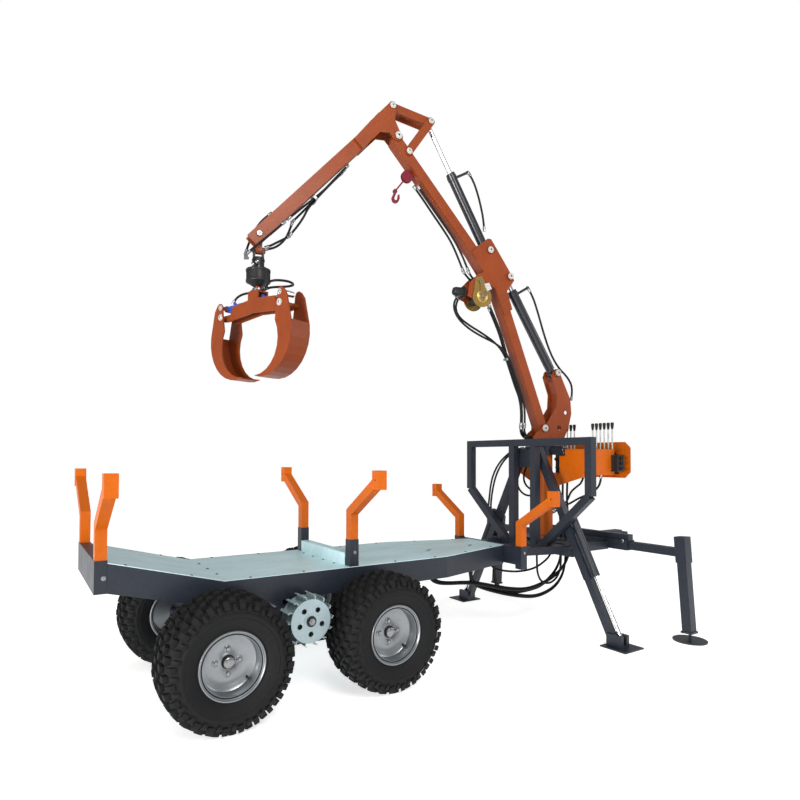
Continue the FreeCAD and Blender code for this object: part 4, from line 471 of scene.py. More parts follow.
# (name, body, CAD node, length in metres, anchor, route as (out, across, up) in millimetres from it)
CRANE_HOSES = [
    ("jib_hose_a", "jib", "hoses_jib", 0.553, TIP, [
        (-548, 22, 509), (-478, 24, 429), (-405, 22, 338), (-338, 28, 270), (-248, 38, 186),
        (-170, 47, 108)]),
    ("jib_hose_b", "jib", "hoses_jib", 0.584, TIP, [
        (-533, 4, 489), (-463, 5, 411), (-393, 4, 326), (-341, 6, 262), (-298, 8, 206), (-270, 10, 144),
        (-227, 12, 76), (-186, 12, 22)]),
    ("jib_hose_c", "jib", "hoses_jib", 0.465, TIP, [
        (-518, -14, 472), (-448, -16, 394), (-383, -14, 316), (-326, -18, 254), (-264, -24, 184),
        (-210, -28, 124)]),
    ("hanger_hose_near", "hanger", "hoses_hanger", 0.304, TIP, [
        (-143, 53, 80), (-88, 56, 22), (-30, 60, -34), (24, 62, -86), (72, 60, -134)]),
    ("hanger_hose_far", "hanger", "hoses_hanger", 0.300, TIP, [
        (-80, -52, 164), (-39, -52, 129), (5, -53, 68), (46, -56, -16), (66, -60, -91)]),
    ("boom_hose_a", "boom", "hoses_boom", 0.635, KNEE, [
        (590, 14, 594), (530, 15, 523), (465, 14, 445), (390, 13, 359), (319, 14, 270), (257, 15, 167),
        (220, 16, 82)]),
    ("boom_hose_b", "boom", "hoses_boom", 0.635, KNEE, [
        (606, -16, 603), (545, -17, 535), (480, -16, 454), (405, -15, 365), (334, -16, 277), (280, -17, 177),
        (240, -18, 89)]),
    ("boom_hose_c", "boom", "hoses_boom", 0.874, KNEE, [
        (52, 10, -135), (7, 11, -222), (-31, 10, -300), (-65, 10, -398), (-92, 9, -488), (-123, 10, -568),
        (-156, 11, -648), (-188, 10, -723), (-210, 9, -803), (-210, 8, -883), (-205, 8, -958)]),
    ("boom_hose_d", "boom", "hoses_boom", 0.866, KNEE, [
        (36, -20, -153), (-6, -20, -237), (-46, -19, -323), (-80, -20, -423), (-110, -21, -513),
        (-144, -22, -601), (-174, -22, -681), (-205, -21, -751), (-230, -20, -823), (-234, -20, -898),
        (-228, -20, -968)]),
    ("fold_hose", "fold_barrel", "hose_fold", 0.398, FOLD_FOOT, [
        (138, 8, 521), (113, 20, 474), (81, 26, 382), (55, 30, 281), (41, 31, 209), (36, 34, 141)]),
    ("lift_hose", "lift_barrel", "hose_lift", 0.872, LIFT_FOOT, [
        (200, 5, 586), (172, 10, 544), (126, 12, 418), (78, 12, 273), (19, 8, 140), (-48, 6, 46),
        (-134, 4, -20), (-178, 4, -97), (-161, 4, -177)]),
]


def nurbs(name, points, radius):
    """A smooth round line whose control points are the route's."""
    data = bpy.data.curves.new(name, "CURVE")
    data.dimensions = "3D"
    spline = data.splines.new("NURBS")
    spline.points.add(len(points) - 1)
    for target, point in zip(spline.points, points):
        target.co = (*point, 1)
    spline.order_u = 3
    spline.use_endpoint_u = True
    data.resolution_u = 10
    data.bevel_depth = radius * MM
    data.bevel_resolution = 4
    data.use_fill_caps = True
    return link(name, data)


def ferrule(name, body, point, axis):
    """The crimped sleeve and nut at a hose's end, drawn over the hose."""
    shape = Shape()
    place = facing(point, axis)
    bore, groove, sleeve = HOSE_RADIUS + 0.3, HOSE_RADIUS + 2, HOSE_RADIUS + 2.6
    shape.lathe(place, [
        (bore, -6), (groove, -6), (sleeve, -4), (groove, -2), (sleeve, 0), (groove, 2), (sleeve, 4),
        (sleeve, 18), (HOSE_RADIUS + 1, 20), (bore, 20),
    ], 20, closed=True)
    shape.disc(place, HOSE_RADIUS + 4, -9, -1, 6)
    return shape.piece(name, body, "steel")


def ferrules(name, first, second, points):
    """Both ends of a hose, each on its body."""
    return [
        ferrule(name + "_end_1", first, points[0], points[1] - points[0]),
        ferrule(name + "_end_2", second, points[-1], points[-2] - points[-1]),
    ]


def lay_hose(name, body, node, points):
    """One hydraulic hose with a crimped end at each side."""
    hose = nurbs(name, points, HOSE_RADIUS)
    hose.data.materials.append(MATERIAL["hose_black"])
    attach(hose, body)
    if node:
        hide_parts(node)
    ends = ferrules(name, body, body, points)


def crane_hoses():
    for name, body, node, length, anchor, route in CRANE_HOSES:
        points = [anchor + (OUT * out + ACROSS * across + UP * up) * MM for out, across, up in route]
        lay_hose(name, body, node, points)


place_camera()
light_studio()
crane_hoses()


# -------------------------------------------------------------- hoses of the bed

# (name, length in metres, route as (ahead, aside, up) in millimetres from the bogie shaft and the floor)
BED_HOSES = [
    ("under_hose_top", 2.055, [
        (945, -95, 562), (948, -95, 480), (960, -95, 410), (990, -95, 382), (1060, -95, 361),
        (1263, -95, 347),
        (1403, -95, 315), (1570, -92, 272), (1759, -90, 242), (1907, -88, 259), (2061, -85, 304),
        (2160, -80, 364), (2215, -76, 430), (2232, -72, 520), (2226, -68, 660), (2212, -64, 820),
        (2206, -72, 910), (2206, -76, 1003)]),
    ("under_hose_low", 1.860, [
        (1285, -75, 562), (1286, -75, 480), (1288, -75, 390), (1310, -75, 330), (1403, -75, 291),
        (1525, -74, 252), (1663, -72, 215), (1832, -70, 182), (1957, -66, 184), (2087, -62, 221),
        (2170, -58, 292), (2205, -54, 380), (2215, -50, 500), (2208, -46, 660), (2192, -44, 820),
        (2186, -50, 910), (2186, -52, 1003)]),
    ("under_hose_middle", 1.485, [
        (1514, -50, 458), (1516, -50, 380), (1530, -50, 300), (1580, -50, 254), (1711, -50, 222),
        (1857, -48, 226), (1957, -44, 236), (2061, -38, 280), (2150, -34, 350), (2190, -30, 440),
        (2196, -26, 560), (2186, -24, 700), (2174, -24, 850), (2170, -24, 1003)]),
    ("under_hose_thin", 0.695, [
        (1500, -30, 458), (1505, -30, 425), (1535, -30, 394), (1617, -30, 371), (1759, -30, 350),
        (1907, -30, 356), (2009, -30, 392), (2085, -30, 440), (2101, -30, 491)]),
    ("under_hose_short", 0.580, [
        (1850, -110, 490), (1850, -110, 410), (1856, -110, 340), (1892, -110, 284), (1962, -110, 262),
        (2036, -110, 284), (2082, -110, 338), (2092, -110, 410), (2092, -110, 491)]),
    ("loop_outer", 0.735, [
        (2012, 166, 1190), (1998, 230, 1182), (1990, 305, 1140), (1986, 385, 1072), (1984, 440, 985),
        (1984, 466, 900), (1980, 474, 815), (1966, 472, 735), (1945, 456, 665), (1930, 436, 626)]),
    ("loop_inner", 0.615, [
        (2006, 166, 1166), (1990, 228, 1160), (1984, 300, 1122), (1980, 368, 1046), (1978, 412, 960),
        (1974, 434, 870), (1966, 440, 795), (1946, 424, 735), (1928, 398, 704)]),
    ("loop_column", 0.500, [
        (2040, 100, 1180), (2016, 140, 1150), (2006, 190, 1080), (2004, 212, 985), (2004, 205, 900),
        (2010, 150, 851), (2024, 95, 846), (2040, 44, 850)]),
    ("loop_small", 0.340, [
        (2024, 60, 1146), (2004, 92, 1100), (2000, 140, 1020), (2002, 146, 950), (2012, 112, 900),
        (2030, 56, 876)]),
    ("console_hose_1", 0.365, [
        (2208, -211, 1003), (2206, -200, 950), (2202, -150, 915), (2196, -110, 880), (2170, -104, 820),
        (2120, -80, 760), (2092, -38, 735)]),
    ("console_hose_2", 0.450, [
        (2208, -349, 1003), (2206, -345, 950), (2204, -312, 905), (2198, -250, 870), (2190, -180, 840),
        (2160, -130, 800), (2110, -80, 770), (2088, -36, 760)]),
]


# The long supply hoses run in threes, side by side
BUNDLED = ("under_hose_top", "under_hose_low", "under_hose_middle")
BESIDE = (("_right", Vector((-20, -17, 0))), ("_left", Vector((22, 17, 0))))


def bed_hoses():
    """Supply hoses that sag under the frame to the console, and the loops round the column."""
    for name, length, route in BED_HOSES:
        points = [at(*point) for point in route]
        lay_hose(name, "trailer", None, points)
        if name in BUNDLED:
            for side, shift in BESIDE:
                lay_hose(name + side, "trailer", None, [point + shift * MM for point in points])


# ------------------------------------------------------------------------- tyres

TREAD_BLOCKS = 24
CARCASS = [
    (122.5, 97.5), (136, 98), (142, 101), (146, 101), (150, 105), (163, 113.5), (180, 121), (192, 125),
    (195, 123.4), (198, 125.4), (206, 126.0), (213, 124.6), (216, 121.6), (221, 121.0), (229, 117.5),
    (236, 113), (243, 107), (250, 98), (255, 86), (259, 68), (262, 40), (263, 0),
]


# Rows of blocks on each half: width from and to, start and span about the axle as shares of a step,
# how far a block leans along the tyre, and the radius under and over it at both widths
TREAD_ROWS = (
    ((8, 30), 0.00, 0.37, 0.10, (261, 279.4), (261, 279.2)),
    ((44, 66), 0.50, 0.37, 0.14, (258, 278.9), (256, 277.4)),
    ((79, 100), 0.00, 0.39, 0.06, (253, 276.4), (247, 271.6)),
    ((108, 122.5), 0.50, 0.37, 0.00, (243, 266.0), (231, 252.0)),
    ((112, 126.6), 0.00, 0.26, 0.00, (238, 250.0), (222, 236.0)),
)


def block(shape, place, angle, span, skew, width, low, high):
    """One tread block with chamfered edges: angles in degrees, radii under and over at both widths."""
    rings = []
    for share, inset in ((0.0, 0.0), (0.78, 0.3), (1.0, 2.2)):
        ring = []
        for turn, end in ((-1, 0), (1, 0), (1, 1), (-1, 1)):
            under, over = (low, high)[end]
            radius = under + (over - under) * share
            toward = inset * (1 if end == 0 else -1) * (1 if width[1] > width[0] else -1)
            degrees = angle + turn * (span / 2 - math.degrees(inset / radius)) + skew * end
            a = math.radians(degrees)
            ring.append((radius * math.cos(a), radius * math.sin(a), width[end] + toward))
        rings.append(shape.loop(place, ring))
    shape.stack(rings)
    shape.cap(rings[0], rings[-1])


def tyre_mesh():
    """A knobby low-pressure tyre about its own centre, its axle along Z."""
    shape = Shape()
    place = Matrix.Scale(MM, 4)
    profile = CARCASS + [(radius, -half) for radius, half in CARCASS[-2::-1]]
    shape.lathe(place, profile, 104, closed=True)
    step = 360 / TREAD_BLOCKS
    for count in range(TREAD_BLOCKS):
        for side in (1, -1):
            offset = 0 if side > 0 else 0.5
            for width, start, span, lean, low, high in TREAD_ROWS:
                angle = (count + offset + start) * step
                across = (side * width[0], side * width[1])
                block(shape, place, angle, span * step, side * lean * step, across, low, high)
    data = shape.data("tyre")
    data.materials.append(MATERIAL["tyre_black"])
    return data


def tyres():
    data = tyre_mesh()
    for corner, sign in WHEELS:
        wheel = "wheel_" + corner
        tyre = show("tread_" + corner, data, wheel, "tyre_black", sharp=30)
        centre = pivot(wheel + "_spin")
        tyre.matrix_world = Matrix.Translation(centre) @ Matrix.Rotation(math.radians(-90 * sign), 4, "X")
        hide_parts("tyre_" + corner)


# -------------------------------------------------------------------------- rims

RIM = [
    (140.5, 98), (141, 100), (140, 104), (138, 106), (134.5, 106), (132, 103), (131, 99), (127, 97),
    (121, 96),
    (119.5, 92), (119, 60), (117, 46), (112, 42), (104, 40), (96, 36), (88, 33), (76, 31), (60, 30.5),
    (45, 33),
    (33, 37), (30, 39), (0, 39),
]


RIM_BACK = [
    (140.5, -98), (141, -100), (140, -104), (136, -106), (132, -103), (131, -99), (124, -96), (119, -92),
    (119, -40), (112, -30), (60, -22), (0, -22),
]
NUT_CIRCLE = 50
# The tyre valve's angle below level in radians, and its distance from the axle
VALVE_TURN = 0.75
VALVE_RADIUS = 108


def rims():
    """Deep dished silver rims with four wheel nuts round a capped hub, a seal and a valve."""
    for corner, sign in WHEELS:
        wheel = "wheel_" + corner
        centre = pivot(wheel + "_spin")
        out = LEFT * sign
        face = facing(centre, out)
        shape = Shape()
        shape.lathe(face, RIM, 72)
        shape.lathe(face, RIM_BACK, 72)
        rim = shape.piece("wheel_rim_" + corner, wheel, "rim_silver")
        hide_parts("rim_" + corner)
        nuts = Shape()
        for x, z in circle(NUT_CIRCLE, 4):
            spot = centre + (ROWX * x + UP * z + out * 31.5) * MM
            nuts.lathe(facing(spot, out), [(0, 0), (15, 0), (15, 1.5), (12.5, 3), (0, 3)], 24)
            nuts.bolt(spot + out * 3 * MM, out, 10, washer=False)
        seal = Shape()
        seal.lathe(facing(centre + out * 33 * MM, out), [
            (22, 0), (31, 0), (31, 5), (28, 7), (22, 7)], 36, closed=True)
        seal.piece("hub_seal_" + corner, wheel, "cast_black")
        nuts.lathe(facing(centre + out * 38.5 * MM, out), [
            (0, 0), (24, 0), (24, 14), (22.5, 18), (18, 21), (10, 22), (0, 22.4)], 32)
        nuts.piece("wheel_nuts_" + corner, wheel, "steel")
        valve = Shape()
        toward = ROWX * math.cos(VALVE_TURN) - UP * math.sin(VALVE_TURN)
        spot = centre + (toward * VALVE_RADIUS + out * 42) * MM
        valve.lathe(facing(spot, out), [(0, -8), (5.5, -8), (5.5, 6), (4, 10), (4, 24), (3, 26), (0, 26)], 14)
        valve.piece("valve_" + corner, wheel, "cast_black")


# ------------------------------------------------------------------- crane joints

# (name, body, place, half the width across the plates, pin radius)
CRANE_PINS = [
    ("boom", "kingpost", pivot("boom_lower"), 65, 17),
    ("lift_foot", "kingpost", LIFT_FOOT, 69, 16),
    ("lift_eye", "boom", crane(324, 0, 2366), 66, 15),
    ("fold_foot", "boom", FOLD_FOOT, 61, 15),
    ("link", "boom", pivot("rocker_turn"), 58, 13),
    ("elbow", "boom", pivot("jib_out"), 57, 17),
    ("crank", "rocker", crane(925, 0, 3329), 58, 13),
    ("tail", "jib", pivot("strap_turn"), 56, 13),
    ("tip", "jib", TIP, 41, 9),
]


def crane_pins():
    """White-zinc pins with a washer and a hollow centre, its floor a black disc of painted shade, at each pivot of
    the crane.
    """
    for name, body, place, half, radius in CRANE_PINS:
        shape = Shape()
        # middle gathers the black discs of painted shade inside the hollow pin heads
        middle = Shape()
        for sign in (1, -1):
            end = place + ACROSS * sign * half * MM
            shape.pin_end(end, ACROSS * sign, radius)
            middle.pin_painted_shade(end, ACROSS * sign, radius)
        shape.piece("pin_" + name, body, "white_steel", "rim_silver")
        middle.piece("pin_painted_shade_" + name, body, "cast_black")


# ----------------------------------------------------------------------- grapple

GRIP_A = Vector(JOINTS["jaws_open"]["axis"])
GRIP_B = Vector(JOINTS["grapple_rod_stroke"]["axis"])


def grip(a, b, up):
    """A point on the grapple in millimetres: along the jaw pins, along the ram and up."""
    return Vector((TIP.x, TIP.y, 0)) + (GRIP_A * a + GRIP_B * b + UP * up) * MM


def grapple_details():
    for side, sign, joint in (("left", 1, "jaws_open"), ("right", -1, "jaw_right_open")):
        shape = Shape()
        # dark gathers the black discs of painted shade inside the hollow heads of the jaw pins
        dark = Shape()
        for face in (1, -1):
            for height, radius in ((pivot(joint).z / MM, 13), (2034, 10)):
                end = grip(face * 70, sign * 275, height)
                shape.pin_end(end, GRIP_A * face, radius)
                dark.pin_painted_shade(end, GRIP_A * face, radius)
        shape.piece("jaw_pins_" + side, "jaw_" + side, "white_steel", "rim_silver")
        dark.piece("jaw_pin_painted_shades_" + side, "jaw_" + side, "cast_black")
    ports = Shape()
    for along in (-48, 226):
        ports.lathe(facing(grip(0, along, 2054), UP), [
            (0, 0), (9, 0), (9, 8), (11, 8), (11, 16), (9.5, 18), (0, 18)], 20)
    ports.lathe(facing(grip(0, -72, 2034), -GRIP_B), [
        (19, 0), (25.5, 0), (25.5, 12), (24, 14), (19, 14)], 32, closed=True)
    ports.piece("grapple_ports", "grapple_barrel", "blue")
    collar = Shape()
    collar.lathe(facing(grip(0, 0, 2098), UP), [
        (20.5, 0), (33, 0), (35, 2), (35, 16), (33, 18), (20.5, 18)], 36, closed=True)
    for side in (1, -1):
        for shift in (-9, 9):
            collar.lathe(facing(grip(shift, side * 30, 2107), GRIP_B * side), [
                (0, 0), (7, 0), (7, 12), (8.5, 12), (8.5, 20), (6.5, 20), (6.5, 30), (0, 30)], 6)
    collar.piece("swivel_collar", "grapple", "steel")


# (name, length in metres, route as the millimetres that grip takes)
GRAPPLE_HOSES = [
    ("grapple_hose_front", 0.535, [
        (9, -58, 2107), (12, -90, 2109), (38, -132, 2111), (72, -178, 2111), (72, -242, 2108),
        (0, -278, 2106),
        (-72, -242, 2104), (-72, -178, 2104), (-38, -132, 2105), (-12, -90, 2106), (-9, -62, 2107)]),
    ("grapple_hose_ram", 0.200, [
        (9, 58, 2107), (12, 100, 2112), (12, 150, 2116), (9, 192, 2111), (4, 224, 2096), (0, 242, 2072)]),
]


def grapple_hoses():
    """Short hoses from the swivel: one loops back to it and one runs to the ram."""
    for name, length, route in GRAPPLE_HOSES:
        lay_hose(name, "grapple", None, [grip(*point) for point in route])


# ----------------------------------------------------------------------- rotator

RING_LOW = 2153
RING_HIGH = 2228
RING_RADIUS = 69
NECK_HIGH = 2300


def rotator_details():
    """Cast flanges, ribs and screws round the rotator, its neck's fittings and the hanger's elbows."""
    axis = Vector((TIP.x, TIP.y, 0))
    cast = Shape()
    for low, high in ((RING_LOW, RING_LOW + 13), (RING_HIGH - 13, RING_HIGH)):
        cast.lathe(facing(axis + UP * low * MM, UP), [
            (60, 0), (RING_RADIUS + 3, 0), (RING_RADIUS + 4, 1.5), (RING_RADIUS + 4, high - low - 1.5),
            (RING_RADIUS + 3, high - low), (60, high - low)], 64, closed=True)
    screws = Shape()
    for step in range(10):
        turn = Matrix.Rotation(2 * math.pi * step / 10, 4, "Z")
        place = Matrix.Translation(axis) @ turn @ Matrix.Scale(MM, 4)
        cast.bar(place, (RING_RADIUS - 8, RING_RADIUS + 3.5), (-5, 5), (RING_LOW + 12, RING_HIGH - 12))
        spot = place @ Vector((RING_RADIUS - 9, 0, RING_HIGH))
        screws.lathe(facing(spot, UP), [
            (0, 0), (6, 0), (6, 6), (5.2, 7), (3.4, 7), (3.2, 3.5), (0, 3.5)], 16)
    cast.lathe(facing(axis + UP * (RING_HIGH + 1) * MM, UP), [
        (34, 0), (48, 0), (46, 6), (39, 11), (34, 12)], 48, closed=True)
    cast.lathe(facing(axis + UP * (NECK_HIGH - 22) * MM, UP), [
        (34, 0), (38, 1), (38, 12), (34, 13)], 48, closed=True)
    cast.piece("rotator_ribs", "rotator", "cast_black")
    screws.piece("rotator_screws", "rotator", "steel")
    fittings = Shape()
    for side in (1, -1):
        for height, lean in ((2262, 0.3), (2250, 0.9)):
            way = (ACROSS * side + OUT * lean).normalized()
            place = facing(axis + UP * height * MM + way * 30 * MM, way)
            fittings.disc(place, 9, 0, 10, 6)
            fittings.lathe(place, [(0, 10), (6.5, 10), (6.5, 20), (8.5, 20), (8.5, 32), (6, 33), (0, 33)], 16)
    fittings.piece("rotator_fittings", "rotator", "steel")
    elbows = Shape()
    for across, out, up, drop in ((60, 2110, 2302, 26), (-60, 2104, 2345, 30)):
        top = crane(out, across, up)
        elbows.tube([top, top + (OUT * 6 - UP * 14) * MM, top + (OUT * 2 - UP * drop) * MM], 6.5)
        foot = top - UP * (drop - 2) * MM + OUT * 2 * MM
        elbows.disc(facing(foot, -UP), 10, 0, 12, 6)
    elbows.piece("hanger_elbows", "hanger", "steel")


# --------------------------------------------------------------------- cylinders

def ring_on(shape, point, axis, inner, outer, width):
    """A rounded ring of a given width about an axis."""
    edge = min(1.5, width / 3)
    shape.lathe(facing(point, axis), [
        (inner, 0), (outer - edge, 0), (outer, edge), (outer, width - edge), (outer - edge, width),
        (inner, width)], 40, closed=True)


def cylinder_details():
    """A smooth sleeve, gland nut and rod wiper on each of the crane's cylinders."""
    for name, foot, end, radius in (("lift", LIFT_FOOT, 655, 31), ("fold", FOLD_FOOT, 570, 30)):
        along = Vector(JOINTS[name + "_rod_stroke"]["axis"])
        shape = Shape()
        for start, inner, outer, width in (
                (75, radius - 3, radius + 0.7, end - 125), (end - 44, radius - 4, radius + 3, 30),
                (end - 6, radius - 8, radius - 1, 10)):
            ring_on(shape, foot + along * start * MM, along, inner, outer, width)
        shape.piece("gland_" + name, name + "_barrel", "cylinder_black")


CLAMP_ROUND = 6


def hose_clamps():
    """Plated straps that hold the crane's hoses under the jib and under the boom."""
    for body, point, along, half, depth in (
            ("jib", crane(1703, 4, 2702), TIP - pivot("jib_out"), 40, 17),
            ("boom", crane(312, -6, 1806), KNEE - pivot("boom_lower"), 28, 13)):
        place = facing(point, along, ACROSS)
        shape = Shape()
        outline = []
        for corner, (sx, sy) in enumerate(((1, 1), (-1, 1), (-1, -1), (1, -1))):
            for step in range(5):
                a = math.radians(90 * corner + 22.5 * step)
                outline.append((
                    sx * (depth - CLAMP_ROUND) + CLAMP_ROUND * math.cos(a),
                    sy * (half - CLAMP_ROUND) + CLAMP_ROUND * math.sin(a)))
        inner = [(x * (1 - 2.4 / depth), y * (1 - 2.4 / half)) for x, y in outline]
        rings = [shape.loop(place, [(x, y, height) for x, y in ring])
                 for ring, height in ((inner, -8), (outline, -8), (outline, 8), (inner, 8))]
        shape.stack(rings + rings[:1])
        shape.piece("hose_clamp_" + body, body, "steel")


# ------------------------------------------------------------------- joining hoses

def tube_hose(name, points, first, second):
    """A hose across a joint: a mesh tube along the route's spline, riding on no body, with its end ferrules on the
    two bodies.
    """
    line = nurbs(name + "_line", points, 0)
    line.data.resolution_u = 12
    mesh = bpy.data.meshes.new_from_object(line)
    path = [Vector(corner.co) for corner in mesh.vertices]
    bpy.data.objects.remove(line)
    shape = Shape()
    shape.tube(path, HOSE_RADIUS, 14)
    hose = shape.piece(name, None, "hose_black")
    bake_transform(hose)
    ends = ferrules(name, first, second, points)


# (name, both bodies, length in metres, route as (out, across, up) in millimetres)
JOINT_HOSES = [
    ("rotator_hose_near", "jib", "hanger", 0.170, [
        (1858, 12, 2451), (1890, 26, 2425), (1930, 36, 2398), (1965, 33, 2376), (1996, 22, 2362)]),
    ("rotator_hose_far", "jib", "hanger", 0.270, [
        (1830, -28, 2553), (1846, -34, 2500), (1870, -41, 2450), (1908, -44, 2408), (1952, -36, 2380),
        (1996, -22, 2364)]),
    ("column_hose_near", "boom", "kingpost", 0.170, [
        (205, 8, 1338), (202, 8, 1310), (180, 8, 1282), (145, 9, 1266), (105, 10, 1262), (76, 10, 1262)]),
    ("column_hose_far", "boom", "kingpost", 0.140, [
        (183, -20, 1328), (180, -20, 1300), (160, -20, 1278), (126, -20, 1266), (76, -20, 1264)]),
    ("winch_foot_near", "boom", "kingpost", 0.180, [
        (190, 26, 1342), (194, 26, 1310), (180, 26, 1276), (146, 26, 1254), (108, 26, 1244),
        (76, 26, 1242)]),
    ("winch_foot_far", "boom", "kingpost", 0.190, [
        (200, -5, 1342), (204, -5, 1308), (188, -5, 1272), (150, -5, 1250), (110, -5, 1242),
        (76, -5, 1240)]),
]

# (name, length in metres, route as (out, across, up) in millimetres), all on the boom
WINCH_HOSES = [
    ("boom_hose_e", 0.280, [
        (630, 16, 2378), (600, 16, 2338), (556, 16, 2306), (506, 14, 2286), (470, 12, 2242), (458, 11, 2206),
        (461, 10, 2174)]),
    ("boom_hose_f", 0.325, [
        (649, -18, 2386), (612, -18, 2344), (562, -18, 2312), (508, -19, 2292), (466, -20, 2246),
        (448, -20, 2200), (447, -20, 2158)]),
    ("winch_hose_near", 1.130, [
        (706, 14, 2203), (736, 20, 2172), (744, 24, 2110), (712, 26, 2048), (640, 26, 1992), (540, 26, 1944),
        (440, 26, 1910), (362, 26, 1868), (312, 26, 1806), (282, 26, 1732), (250, 26, 1650), (218, 26, 1575),
        (194, 26, 1495), (186, 26, 1415), (190, 26, 1342)]),
    ("winch_hose_far", 1.090, [
        (682, -12, 2203), (704, -10, 2170), (712, -8, 2112), (680, -6, 2060), (606, -5, 2016),
        (510, -5, 1972),
        (424, -5, 1926), (360, -5, 1874), (318, -5, 1806), (290, -5, 1732), (256, -5, 1650), (224, -5, 1575),
        (202, -5, 1495), (196, -5, 1415), (200, -5, 1342)]),
]


def joining_hoses():
    for name, first, second, length, route in JOINT_HOSES:
        tube_hose(name, [crane(*point) for point in route], first, second)
    for name, length, route in WINCH_HOSES:
        lay_hose(name, "boom", None, [crane(*point) for point in route])


# -------------------------------------------------------------------------- winch

WINCH_OUT = 548
WINCH_UP = 2204
WINCH_RADIUS = 66
MOTOR_UP = 2238
BRACKET = [
    (432, 2269), (525, 2377), (579, 2352), (640, 2290), (655, 2200), (600, 2180), (560, 2262), (480, 2293),
]


def crane_plate(shape, outline, low, high):
    """A flat plate in the crane's plane between two widths across it."""
    corners = [crane(out, 0, up) for out, up in outline]
    rings = [
        [shape.mesh.verts.new(corner + ACROSS * width * MM) for corner in corners] for width in (low, high)
    ]
    shape.stack(rings)
    shape.cap(*rings)


def winch():
    """Small worm-gear winch under the knee: bracket, side plates, drum with its rope, and motor."""
    bracket = Shape()
    for side in (1, -1):
        crane_plate(bracket, BRACKET, side * 51, side * 56)
    bracket.piece("winch_bracket", "boom", "crane_orange")
    arc = [(WINCH_OUT + (WINCH_RADIUS + 6) * math.cos(math.radians(a)),
            WINCH_UP + (WINCH_RADIUS + 6) * math.sin(math.radians(a))) for a in range(150, 391, 12)]
    plates = Shape()
    for side in (1, -1):
        crane_plate(plates, [(600, 2325), (552, 2345)] + arc, side * 58, side * 62)
    across = facing(crane(WINCH_OUT, -57, WINCH_UP), ACROSS)
    plates.lathe(across, [
        (0, 0), (WINCH_RADIUS, 0), (WINCH_RADIUS, 4), (34, 6), (34, 108), (WINCH_RADIUS, 110),
        (WINCH_RADIUS, 114), (0, 114)], 48)
    plates.lathe(facing(crane(WINCH_OUT, 62, WINCH_UP), ACROSS), [
        (0, 0), (42, 0), (42, 3), (38, 6), (16, 7), (14, 12), (0, 12)], 40)
    crane_plate(plates, [(546, 2318), (572, 2310), (560, 2216), (534, 2220)], 64, 69)
    plates.piece("winch_plates", "boom", "zinc")
    for name in ("winch_bracket", "winch_plates"):
        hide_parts("winch")
    rope = Shape()
    profile = [(34, 8)]
    for turn in range(16):
        profile += [(36.5, 9.2 + turn * 6), (38, 12 + turn * 6), (36.5, 14.8 + turn * 6)]
    rope.lathe(across, profile + [(34, 106)], 48, closed=True)
    rope.piece("winch_rope", "boom", "cast_black")
    bolts = Shape()
    for x, z in circle(28, 3, 0.25):
        bolts.bolt(crane(WINCH_OUT + x, 68, WINCH_UP + z), ACROSS, 8)
    bolts.bolt(crane(562, 69, 2300), ACROSS, 9)
    bolts.bolt(crane(WINCH_OUT, 74, WINCH_UP), ACROSS, 10)
    bolts.piece("winch_bolts", "boom", "steel")
    label = Shape()
    crane_plate(label, [(534, 2290), (496, 2302), (474, 2262), (510, 2244)], 62, 64.5)
    label.piece("winch_plate_blank", "boom", "white_steel", "rim_silver")
    motor = Shape()
    motor.lathe(facing(crane(655, 0, MOTOR_UP), OUT), [
        (0, 0), (40, 0), (40, 10), (30, 13), (30, 62), (27, 66), (27, 74), (24, 77), (0, 77)], 40)
    for x, y in circle(33, 4, 0.5):
        motor.disc(facing(crane(664, y, MOTOR_UP + x), OUT), 5, 0, 8, 6)
    motor.bar(facing(crane(694, 1, 2216), UP, OUT), (-26, 26), (-20, 20), (-10, 6), 3)
    motor.piece("winch_motor", "boom", "cast_black")


# ------------------------------------------------------------------------- rollers

def holed_disc(name, place, radius, holes, thickness):
    """Mesh of a flat round plate with round holes, each hole (x, y, radius)."""
    data = bpy.data.curves.new(name, "CURVE")
    data.dimensions = "2D"
    data.fill_mode = "BOTH"
    data.extrude = thickness / 2
    for x, y, size in [(0, 0, radius)] + holes:
        spline = data.splines.new("POLY")
        ring = circle(size, 72 if size == radius else 24)
        spline.points.add(len(ring) - 1)
        for point, (ahead, aside) in zip(spline.points, ring):
            point.co = (x + ahead, y + aside, 0, 1)
        spline.use_cyclic_u = True
    thing = bpy.data.objects.new(name, data)
    mesh = bpy.data.meshes.new_from_object(thing)
    bpy.data.objects.remove(thing)
    mesh.transform(place)
    return mesh


PADDLES = 14
PADDLE = [(85, -3), (112, -3), (118.5, 9), (115.5, 11), (110, 1), (85, 1)]


def rollers():
    """Galvanised drive rollers: two discs with five holes and bent paddles between them."""
    for side, sign in SIDES:
        centre = pivot("roller_" + side + "_spin")
        low, high = box("drive_roller_" + side)
        half = (high.y - low.y) / 2 / MM
        out = LEFT * sign
        shape = Shape()
        holes = [(x, y, 12.5) for y, x in circle(58, 5, 0.5)]
        for face in (half - 2.5, -half + 2.5):
            part = holed_disc("disc", facing(centre + out * face * MM, out), 98, holes + [(0, 0, 26)], 5)
            shape.mesh.from_mesh(part)
        place = facing(centre, out)
        for inner, outer, low_end, high_end, steps in (
                (84, 86, 3 - half, half - 3, 60), (25.2, 33, 1 - half, half + 2.5, 40)):
            shape.lathe(place, [
                (inner, low_end), (outer, low_end), (outer, high_end), (inner, high_end)], steps, closed=True)
        for step in range(PADDLES):
            turn = place @ Matrix.Rotation(2 * math.pi * step / PADDLES, 4, "Z")
            shape.prism(turn, PADDLE, -half + 6, half - 6)
        roller = shape.piece("roller_" + side, "roller_" + side, "roller_zinc", "galvanised")
        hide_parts("drive_roller_" + side)


# ------------------------------------------------------------------ control valves

